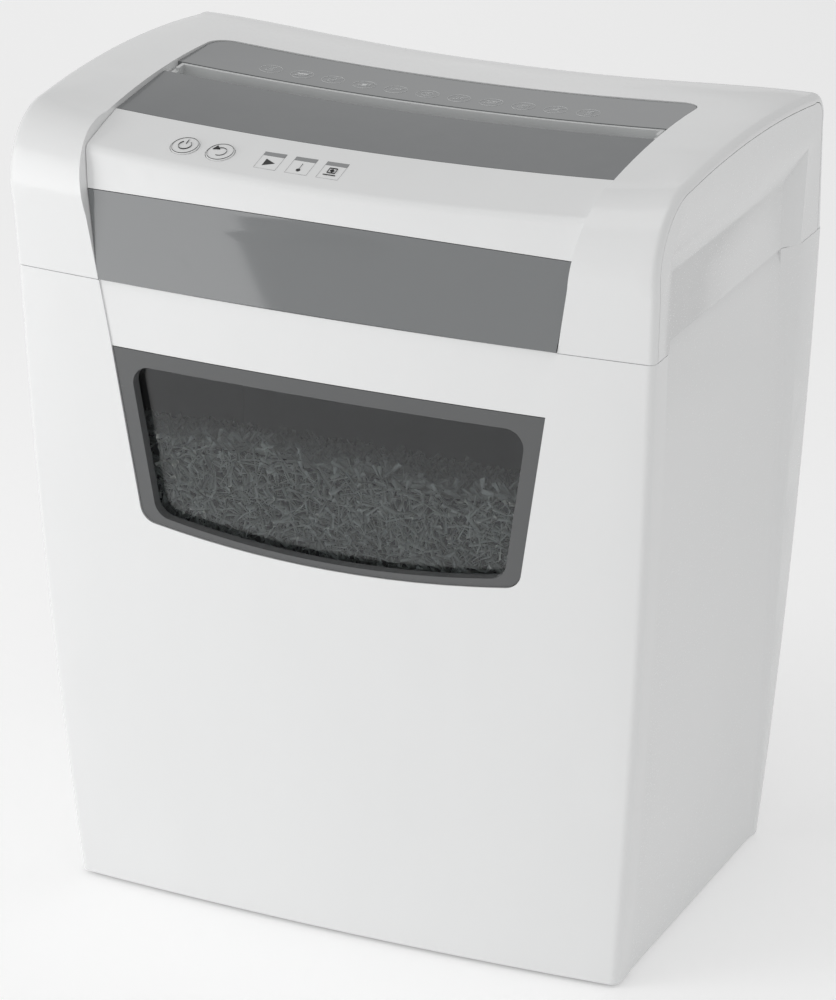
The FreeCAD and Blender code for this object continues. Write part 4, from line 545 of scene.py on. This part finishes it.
def make_shred_tree():
    """Scatters curled paper strips over a heap, flat against its front and tumbled on its top; the heap
    below them is kept as a core that carries painted shade.
    """
    tree, given, result = new_tree(
        "shred_heap",
        "GeometryNodeTree",
        [
            ("Heap", "Geometry", None),
            ("Strip Length", "Float", 0.018),
            ("Strip Width", "Float", 0.0026),
            ("Strip Thickness", "Float", 0.00014),
            ("Strips Per Area", "Float", 95000.0),
            ("Lowest Strip", "Float", 0.21),
            ("Lump Height", "Float", 0.026),
            ("Side Reach", "Float", 0.142),
            ("Front Edge", "Float", -0.108),
            ("Rear Edge", "Float", 0.03),
            ("Core Inset", "Float", 0.001),
            ("Loose Height", "Float", 0.0018),
            ("Seed", "Int", 0),
            ("Paper", "Material", None),
        ],
        [("Shreds", "Geometry")],
    )
    variants = add(tree, "GeometryNodeJoinGeometry")
    profile = add(
        tree, "GeometryNodeCurvePrimitiveQuadrilateral",
        {"Width": given["Strip Thickness"], "Height": given["Strip Width"]}
    )
    half = maths(tree, "MULTIPLY", given["Strip Length"], 0.5)
    for curl, sway, twist in STRIP_SHAPES:
        start = add(tree, "ShaderNodeCombineXYZ", {"X": maths(tree, "MULTIPLY", half, -1.0)})
        end = add(tree, "ShaderNodeCombineXYZ", {"X": half})
        line = add(
            tree, "GeometryNodeCurvePrimitiveLine", {"Start": start.outputs[0], "End": end.outputs[0]}
        )
        points = add(tree, "GeometryNodeResampleCurve", {"Curve": line.outputs[0], "Count": STRIP_POINTS})
        along = add(
            tree, "ShaderNodeSeparateXYZ", {0: add(tree, "GeometryNodeInputPosition").outputs[0]}
        ).outputs[0]
        share = maths(tree, "DIVIDE", along, half)
        square = maths(tree, "MULTIPLY", share, share)
        lift = maths(tree, "MULTIPLY", square, maths(tree, "MULTIPLY", given["Strip Length"], curl))
        side = maths(
            tree, "MULTIPLY", maths(tree, "MULTIPLY", square, share),
            maths(tree, "MULTIPLY", given["Strip Length"], sway)
        )
        offset = add(tree, "ShaderNodeCombineXYZ", {"Y": side, "Z": lift})
        bent = add(
            tree, "GeometryNodeSetPosition", {"Geometry": points.outputs[0], "Offset": offset.outputs[0]}
        )
        upright = add(tree, "GeometryNodeSetCurveNormal", {"Curve": bent.outputs[0]}, mode="Z_UP")
        turned = add(
            tree, "GeometryNodeSetCurveTilt",
            {"Curve": upright.outputs[0], "Tilt": maths(tree, "MULTIPLY", share, twist)}
        )
        strip = add(
            tree, "GeometryNodeCurveToMesh",
            {"Curve": turned.outputs[0], "Profile Curve": profile.outputs[0], "Fill Caps": True}
        )
        single = add(tree, "GeometryNodeGeometryToInstance", {"Geometry": strip.outputs[0]})
        tree.links.new(single.outputs[0], variants.inputs[0])
    cells = add(tree, "GeometryNodeSubdivideMesh", {"Mesh": given["Heap"], "Level": HEAP_CELLS})
    spot = add(tree, "GeometryNodeInputPosition").outputs[0]
    place = add(tree, "ShaderNodeSeparateXYZ", {0: spot}).outputs
    rise = maths(tree, "MAXIMUM", maths(tree, "SUBTRACT", place[2], given["Lowest Strip"]), 0.0)
    lump = maths(
        tree, "MULTIPLY", noise(tree, spot, LUMPS_A_METRE),
        maths(
            tree, "MULTIPLY", given["Lump Height"],
            maths(tree, "MINIMUM", maths(tree, "MULTIPLY", rise, LUMP_ONSET), 1.0)
        )
    )
    sink = add(tree, "ShaderNodeCombineXYZ", {"Z": maths(tree, "MULTIPLY", lump, -1.0)})
    heaped = add(tree, "GeometryNodeSetPosition", {"Geometry": cells.outputs[0], "Offset": sink.outputs[0]})
    faced = add(tree, "ShaderNodeSeparateXYZ", {0: add(tree, "GeometryNodeInputNormal").outputs[0]}).outputs
    on_top = maths(
        tree, "MULTIPLY", maths(tree, "GREATER_THAN", faced[2], FACES_UP),
        maths(tree, "GREATER_THAN", place[1], given["Front Edge"])
    )
    seen = maths(tree, "MAXIMUM", on_top, maths(tree, "LESS_THAN", faced[1], FACES_FRONT))
    beside = maths(tree, "LESS_THAN", maths(tree, "ABSOLUTE", place[0]), given["Side Reach"])
    within = maths(tree, "MULTIPLY", beside, maths(tree, "LESS_THAN", place[1], given["Rear Edge"]))
    high = maths(tree, "GREATER_THAN", place[2], given["Lowest Strip"])
    wanted = maths(tree, "MULTIPLY", maths(tree, "MULTIPLY", seen, within), high)
    scattered = add(tree, "GeometryNodeDistributePointsOnFaces", {
        "Mesh": heaped.outputs[0], "Selection": wanted, "Density": given[
            "Strips Per Area"
        ], "Seed": given["Seed"],
    })
    facing = add(tree, "ShaderNodeSeparateXYZ", {0: scattered.outputs["Normal"]}).outputs[2]
    tilt = spread(tree, facing, 0.1, 0.8, FRONT_TILT, TOP_TILT)
    swing = add(
        tree, "FunctionNodeRandomValue",
        {"Min": (-1.0, -1.0, -math.pi), "Max": (1.0, 1.0, math.pi), "Seed": given["Seed"]},
        data_type="FLOAT_VECTOR"
    )
    reach = add(tree, "ShaderNodeCombineXYZ", {"X": tilt, "Y": tilt, "Z": 1.0})
    turn = add(
        tree, "ShaderNodeVectorMath", {0: swing.outputs[0], 1: reach.outputs[0]}, operation="MULTIPLY"
    )
    spin = add(tree, "FunctionNodeEulerToRotation", {"Euler": turn.outputs[0]})
    aimed = add(
        tree, "FunctionNodeRotateRotation",
        {"Rotation": scattered.outputs["Rotation"], "Rotate By": spin.outputs[0]}, rotation_space="LOCAL"
    )
    size = add(
        tree, "FunctionNodeRandomValue",
        {"Min": (0.45, 0.7, 1.0), "Max": (1.25, 1.1, 1.0), "Seed": maths(tree, "ADD", given["Seed"], 1.0)},
        data_type="FLOAT_VECTOR"
    )
    choice = add(
        tree, "FunctionNodeRandomValue", {"Seed": maths(tree, "ADD", given["Seed"], 2.0)}, data_type="INT"
    )
    choice.inputs[4].default_value = 0
    choice.inputs[5].default_value = len(STRIP_SHAPES) - 1
    away = add(
        tree, "ShaderNodeVectorMath", {0: scattered.outputs["Normal"], "Scale": given["Loose Height"]},
        operation="SCALE"
    )
    loose = add(
        tree, "GeometryNodeSetPosition",
        {"Geometry": scattered.outputs["Points"], "Offset": away.outputs[0]}
    )
    placed = add(tree, "GeometryNodeInstanceOnPoints", {
        "Points": loose.outputs[0], "Instance": variants.outputs[0], "Pick Instance": True,
        "Instance Index": choice.outputs[2], "Rotation": aimed.outputs[0], "Scale": size.outputs[0],
    })
    tone = add(
        tree, "FunctionNodeRandomValue", {"Seed": maths(tree, "ADD", given["Seed"], 3.0)}, data_type="FLOAT"
    )
    toned = add(
        tree, "GeometryNodeStoreNamedAttribute", {"Geometry": placed.outputs[0], "Name": "tone"},
        data_type="FLOAT", domain="INSTANCE"
    )
    tree.links.new(tone.outputs[1], toned.inputs["Value"])
    # The heap itself, set back a little under the strips, is kept as a core which the paper material paints
    # near-black: painted shade for the gaps between strips.
    normal = add(tree, "GeometryNodeInputNormal").outputs[0]
    inward = add(
        tree, "ShaderNodeVectorMath",
        {0: normal, "Scale": maths(tree, "MULTIPLY", given["Core Inset"], -1.0)}, operation="SCALE"
    )
    core = add(
        tree, "GeometryNodeSetPosition", {"Geometry": heaped.outputs[0], "Offset": inward.outputs[0]}
    )
    shaded = add(
        tree, "GeometryNodeStoreNamedAttribute", {"Geometry": core.outputs[0], "Name": "depth"},
        data_type="FLOAT", domain="POINT"
    )
    shaded.inputs["Value"].default_value = 1.0
    real = add(tree, "GeometryNodeRealizeInstances", {"Geometry": toned.outputs[0]})
    both = add(tree, "GeometryNodeJoinGeometry")
    tree.links.new(shaded.outputs[0], both.inputs[0])
    tree.links.new(real.outputs[0], both.inputs[0])
    dressed = add(
        tree, "GeometryNodeSetMaterial", {"Geometry": both.outputs[0], "Material": given["Paper"]}
    )
    tree.links.new(dressed.outputs[0], result["Shreds"])
    return tree


STRIP_POINTS = 3
HEAP_CELLS = 4           # rounds of subdivision
FACES_UP = 0.3           # least rise of a normal that counts as the top
FACES_FRONT = -0.5
LUMPS_A_METRE = 17.0
LUMP_ONSET = 15.0        # lumps grow to full height over its inverse
STRIP_SHAPES = [
    (0.05, 0.05, 0.2), (0.16, -0.08, -0.6), (-0.1, 0.1, 0.9), (0.02, -0.02, 0.1), (0.22, 0.12, 1.4)
]
FRONT_TILT = math.radians(14)
TOP_TILT = math.radians(38)

heap_mesh = welded("shredded_paper")
shreds_mesh = grown(
    "paper_shreds", make_shred_tree(), heap_mesh, {"Paper": MATERIALS["shred_paper"], "Seed": 4}
)
shreds = shown("paper_shreds", shreds_mesh, "bin", "shred_paper")
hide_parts("shredded_paper")


def make_ink_tree():
    """Prints lines and filled shapes on a surface: thin ink laid down on whatever lies below them."""
    tree, given, result = new_tree(
        "printed_ink",
        "GeometryNodeTree",
        [
            ("Drawing", "Geometry", None),
            ("Line Width", "Float", 0.0004),
            ("Ink Thickness", "Float", 0.00008),
            ("Surface", "Object", None),
            ("Ink", "Material", None),
        ],
        [("Print", "Geometry")],
    )
    drawing = given["Drawing"]
    path = add(tree, "GeometryNodeMeshToCurve", {"Mesh": drawing})
    level = add(tree, "GeometryNodeSetCurveNormal", {"Curve": path.outputs[0]}, mode="Z_UP")
    nib = add(
        tree, "GeometryNodeCurvePrimitiveQuadrilateral",
        {"Width": given["Ink Thickness"], "Height": given["Line Width"]}
    )
    lines = add(
        tree, "GeometryNodeCurveToMesh",
        {"Curve": level.outputs[0], "Profile Curve": nib.outputs[0], "Fill Caps": True}
    )
    sides = add(tree, "GeometryNodeInputMeshEdgeNeighbors").outputs[0]
    bare = add(tree, "FunctionNodeCompare", {2: sides, 3: 0}, data_type="INT", operation="EQUAL").outputs[0]
    patches = add(
        tree, "GeometryNodeDeleteGeometry", {"Geometry": drawing, "Selection": bare}, domain="EDGE"
    )
    upper = add(tree, "GeometryNodeExtrudeMesh", {
        "Mesh": patches.outputs[0], "Offset": (0.0, 0.0, 1.0), "Offset Scale": given[
            "Ink Thickness"
        ], "Individual": False,
    })
    under = add(tree, "GeometryNodeFlipFaces", {"Mesh": patches.outputs[0]})
    blocks = add(tree, "GeometryNodeJoinGeometry")
    tree.links.new(upper.outputs[0], blocks.inputs[0])
    tree.links.new(under.outputs[0], blocks.inputs[0])
    closed = add(tree, "GeometryNodeMergeByDistance", {"Geometry": blocks.outputs[0], "Distance": 1e-6})
    print_parts = add(tree, "GeometryNodeJoinGeometry")
    tree.links.new(lines.outputs[0], print_parts.inputs[0])
    tree.links.new(closed.outputs[0], print_parts.inputs[0])
    place = add(
        tree, "ShaderNodeSeparateXYZ", {0: add(tree, "GeometryNodeInputPosition").outputs[0]}
    ).outputs
    above = add(tree, "ShaderNodeCombineXYZ", {"X": place[0], "Y": place[1], "Z": INK_DROP})
    surface = add(tree, "GeometryNodeObjectInfo", {"Object": given["Surface"]})
    met = add(tree, "GeometryNodeRaycast", {
        "Target Geometry": surface.outputs["Geometry"], "Source Position": above.outputs[0],
        "Ray Direction": (0.0, 0.0, -1.0), "Ray Length": INK_DROP,
    })
    ground = add(tree, "ShaderNodeSeparateXYZ", {0: met.outputs["Hit Position"]}).outputs[2]
    height = maths(
        tree, "ADD", ground,
        maths(tree, "ADD", place[2], maths(tree, "MULTIPLY", given["Ink Thickness"], 0.3))
    )
    laid = add(tree, "ShaderNodeCombineXYZ", {"X": place[0], "Y": place[1], "Z": height})
    moved = add(
        tree, "GeometryNodeSetPosition", {"Geometry": print_parts.outputs[0], "Position": laid.outputs[0]}
    )
    real = add(tree, "GeometryNodeRealizeInstances", {"Geometry": moved.outputs[0]})
    inked = add(tree, "GeometryNodeSetMaterial", {"Geometry": real.outputs[0], "Material": given["Ink"]})
    tree.links.new(inked.outputs[0], result["Print"])
    return tree


INK_DROP = 0.6           # how high the ray that finds the surface starts


def arc(radius, start, end, x=0.0, y=0.0, steps=40):
    """Points of an arc about (x, y), in millimetres and degrees."""
    turns = [math.radians(start + (end - start) * step / steps) for step in range(steps + 1)]
    return [(x + radius * math.cos(turn), y + radius * math.sin(turn)) for turn in turns]


def loop(points):
    """A closed line."""
    return ("loop", points)


def line(*points):
    """An open line."""
    return ("line", list(points))


def patch(*points):
    """A filled shape."""
    return ("patch", list(points))


def ring(radius, x=0.0, y=0.0):
    return loop(arc(radius, 0, 360, x, y, 48)[:-1])


def oblong(width, height, x=0.0, y=0.0):
    return [(x - width / 2, y - height / 2), (x + width / 2, y - height / 2),
            (x + width / 2, y + height / 2), (x - width / 2, y + height / 2)]


def moved_to(shapes, x, y):
    return [(kind, [(x + a, y + b) for a, b in points]) for kind, points in shapes]


def printed(name, shapes, node, ink, width, slot):
    """Prints shapes, drawn in millimetres from above, on a CAD node's surface."""
    points, edges, faces = [], [], []
    for kind, outline in shapes:
        first = len(points)
        points += [(x * MM, y * MM, 0.0) for x, y in outline]
        count = len(outline)
        if kind == "patch":
            faces.append(list(range(first, first + count)))
        else:
            edges += [(first + i, first + i + 1) for i in range(count - 1)]
        if kind == "loop":
            edges.append((first + count - 1, first))
    drawing = bpy.data.meshes.new(name + "_drawing")
    drawing.from_pydata(points, edges, faces)
    values = {"Line Width": width * MM, "Surface": finished[node], "Ink": MATERIALS[ink]}
    return shown(name, grown(name, INK_TREE, drawing, values), body_of(node), ink)


INK_TREE = make_ink_tree()
CONTROL_Y = -92.3
POWER_X = -90.5
REVERSE_X = -70.2
TILE_X = -41.7
TILE_PITCH = 17.65
TILE_Y = -93.6
TILE_W = 12.2
TILE_H = 11.4

power_sign = [ring(7.0), line(*arc(3.5, 125, 415)), line((0, 1.2), (0, 4.9))]
printed(
    "power_sign", moved_to([power_sign[0]], POWER_X, CONTROL_Y), "power_button", "black_ink", 0.6,
    "black_plastic"
)
printed(
    "power_mark", moved_to(power_sign[1:], POWER_X, CONTROL_Y), "power_button", "black_ink", 1.1,
    "black_plastic"
)
turn_arrow = [line(*arc(3.4, 150, -110)), patch((-4.9, 1.3), (-1.0, 1.9), (-3.4, 4.6))]
printed(
    "reverse_sign", moved_to([ring(7.0)], REVERSE_X, CONTROL_Y), "reverse_button", "black_ink", 0.6,
    "black_plastic"
)
printed(
    "reverse_mark", moved_to(turn_arrow, REVERSE_X, CONTROL_Y), "reverse_button", "black_ink", 0.8,
    "black_plastic"
)

tiles = []
for index in range(3):
    left = TILE_X + index * TILE_PITCH - TILE_W / 2
    top = TILE_Y + TILE_H / 2
    tiles.append(
        line((left, top), (left, top - TILE_H), (left + TILE_W, top - TILE_H), (left + TILE_W, top))
    )
printed("tile_outlines", tiles, "control_panel", "grey_ink", 0.3, "lens_grey")
ready = [patch((-2.6, -2.9), (3.3, 0.0), (-2.6, 2.9))]
hot = [line((0, -0.6), (0, 3.6)), patch(*arc(1.1, 0, 340, 0, -2.2, 17))]
full = [
    loop(oblong(4.4, 4.0, 0, 1.3)), patch((-1.2, 1.2), (0, 0.1), (1.2, 1.2), (0, 2.4)),
    line((-3.5, -2.6), (3.5, -2.6))
]
printed("ready_mark", moved_to(ready, TILE_X, TILE_Y), "control_panel", "black_ink", 0.2, "black_plastic")
printed(
    "hot_mark", moved_to(hot, TILE_X + TILE_PITCH, TILE_Y), "control_panel", "black_ink", 0.5,
    "black_plastic"
)
printed(
    "full_mark", moved_to(full, TILE_X + 2 * TILE_PITCH, TILE_Y), "control_panel", "black_ink", 1.1,
    "black_plastic"
)

BADGE_R = 6.2
BADGE_FIRST = -93.4
BADGE_STEP = 18.31
BADGE_Y = 12.0
sheet = [loop(oblong(4.2, 5.6)), line((-1.2, 1.2), (1.2, 1.2)), line((-1.2, -0.4), (1.2, -0.4))]
crossed = line((-4.0, -4.0), (4.0, 4.0))
clip = [
    line(*(arc(1.0, 180, 0, 0, 2.2, 8) + [(1.0, -1.6)] + arc(1.6, 0, -180, -0.6, -1.6, 8) + [(-2.2, 1.8)]))
]
staple = [line((-2.6, -1.4), (-2.6, 1.4), (2.6, 1.4), (2.6, -1.4))]
disc = [ring(3.0), ring(0.9)]
card = [loop(oblong(6.0, 4.0)), patch(*oblong(5.6, 0.9, 0, 0.8))]
envelope = [loop(oblong(6.0, 4.2)), line((-3.0, 2.1), (0, -0.3), (3.0, 2.1))]
stack = [loop(oblong(4.4, 3.0, -0.6, -0.8)), line((-1.6, 1.9), (3.0, 1.9), (3.0, -1.4))]
strips = [line((x, -2.8), (x, 2.8)) for x in (-2.4, -0.8, 0.8, 2.4)]
film = [loop(oblong(6.2, 3.6)), patch(*oblong(2.6, 1.8))]
hand = [ring(1.6, 0, 1.2), line((-2.8, -2.8), (0, -0.4), (2.8, -2.8))]
BADGES = [
    sheet, card + [crossed], clip + [crossed], film + [crossed], staple + [crossed], disc,
    strips + [crossed], envelope + [crossed], stack, hand + [crossed], sheet,
]
rings, signs = [], []
for index, sign in enumerate(BADGES):
    x = BADGE_FIRST + index * BADGE_STEP
    rings += moved_to([ring(BADGE_R)], x, BADGE_Y)
    signs += moved_to(sign, x, BADGE_Y)
printed("badge_rings", rings, "rear_top_plate", "white_ink", 0.34, "white_gloss")
printed("badge_signs", signs, "rear_top_plate", "white_ink", 0.36, "white_gloss")


# Studio

FLOOR_SIZE = 30.0

floor_mesh = bpy.data.meshes.new("studio_floor")
half = FLOOR_SIZE / 2
floor_mesh.from_pydata(
    [(-half, -half, 0), (half, -half, 0), (half, half, 0), (-half, half, 0)], [], [(0, 1, 2, 3)]
)
floor = bpy.data.objects.new("studio_floor", floor_mesh)
scene.collection.objects.link(floor)
floor_paint, floor_tree, floor_place = new_material("floor_paint")
pale = mixed(floor_tree, noise(floor_tree, floor_place, 1.5), rgb(0.93, 0.93, 0.93), rgb(0.95, 0.95, 0.95))
close_material(floor_tree, add(floor_tree, "ShaderNodeBsdfPrincipled", {
    "Base Color": pale, "Roughness": 0.9, "Specular IOR Level": 0.1,
    "Emission Color": rgb(1.0, 1.0, 1.0), "Emission Strength": 0.22,
}))
floor_mesh.materials.append(floor_paint)

scene.view_settings.view_transform = "Standard"
world = bpy.data.worlds.new("studio_air")
world.use_nodes = True
world.node_tree.nodes["Background"].inputs["Color"].default_value = rgb(1.0, 1.0, 1.0)
world.node_tree.nodes["Background"].inputs["Strength"].default_value = 0.5
scene.world = world


def soft_box(name, place, aim, size, radiance):
    """A soft box at a place, aimed at a point, as bright as radiance says."""
    forward = (Vector(aim) - Vector(place)).normalized()
    side = forward.cross(Vector((0, 0, 1))).normalized()
    return hang_soft_box(name, Vector(place), side, side.cross(forward), size, radiance)


def edged_soft_box(name, low, high, mirrored, reach, size, radiance, slide=0.0):
    """A soft box whose right edge is what two points of a polished face mirror, seen along a direction."""
    mirrored = Vector(mirrored).normalized()
    edge = Vector(high) - Vector(low)
    edge = (edge - edge.dot(mirrored) * mirrored).normalized()
    across = edge.cross(mirrored)
    if across.x < 0:
        edge, across = -edge, -across
    middle = (Vector(low) + Vector(high)) / 2 + mirrored * reach
    return hang_soft_box(name, middle - across * size[0] / 2 + edge * slide, across, edge, size, radiance)


def hang_soft_box(name, middle, across, edge, size, radiance):
    lamp = bpy.data.lights.new(name, "AREA")
    lamp.shape = "RECTANGLE"
    lamp.size, lamp.size_y = size
    lamp.energy = radiance * math.pi * size[0] * size[1]
    box = bpy.data.objects.new(name, lamp)
    scene.collection.objects.link(box)
    turn = Matrix((across, edge, across.cross(edge))).transposed()
    box.matrix_world = Matrix.Translation(middle) @ turn.to_4x4()
    box.visible_camera = False
    return box


edged_soft_box("band_box", (-0.0338, -0.121, 0.3601), (-0.0491, -0.1145, 0.3977), (-0.442, -0.896, -0.042),
               1.5, (1.1, 1.5), 2.3, 0.45)
edged_soft_box("plate_box", (-0.0469, -0.0686, 0.4333), (-0.0331, -0.0202, 0.4383), (-0.413, 0.767, 0.491),
               2.0, (1.3, 1.6), 0.25)
soft_box("top_box", (0.1, -0.5, 2.4), (0, 0, 0.3), (1.8, 1.4), 1.0)
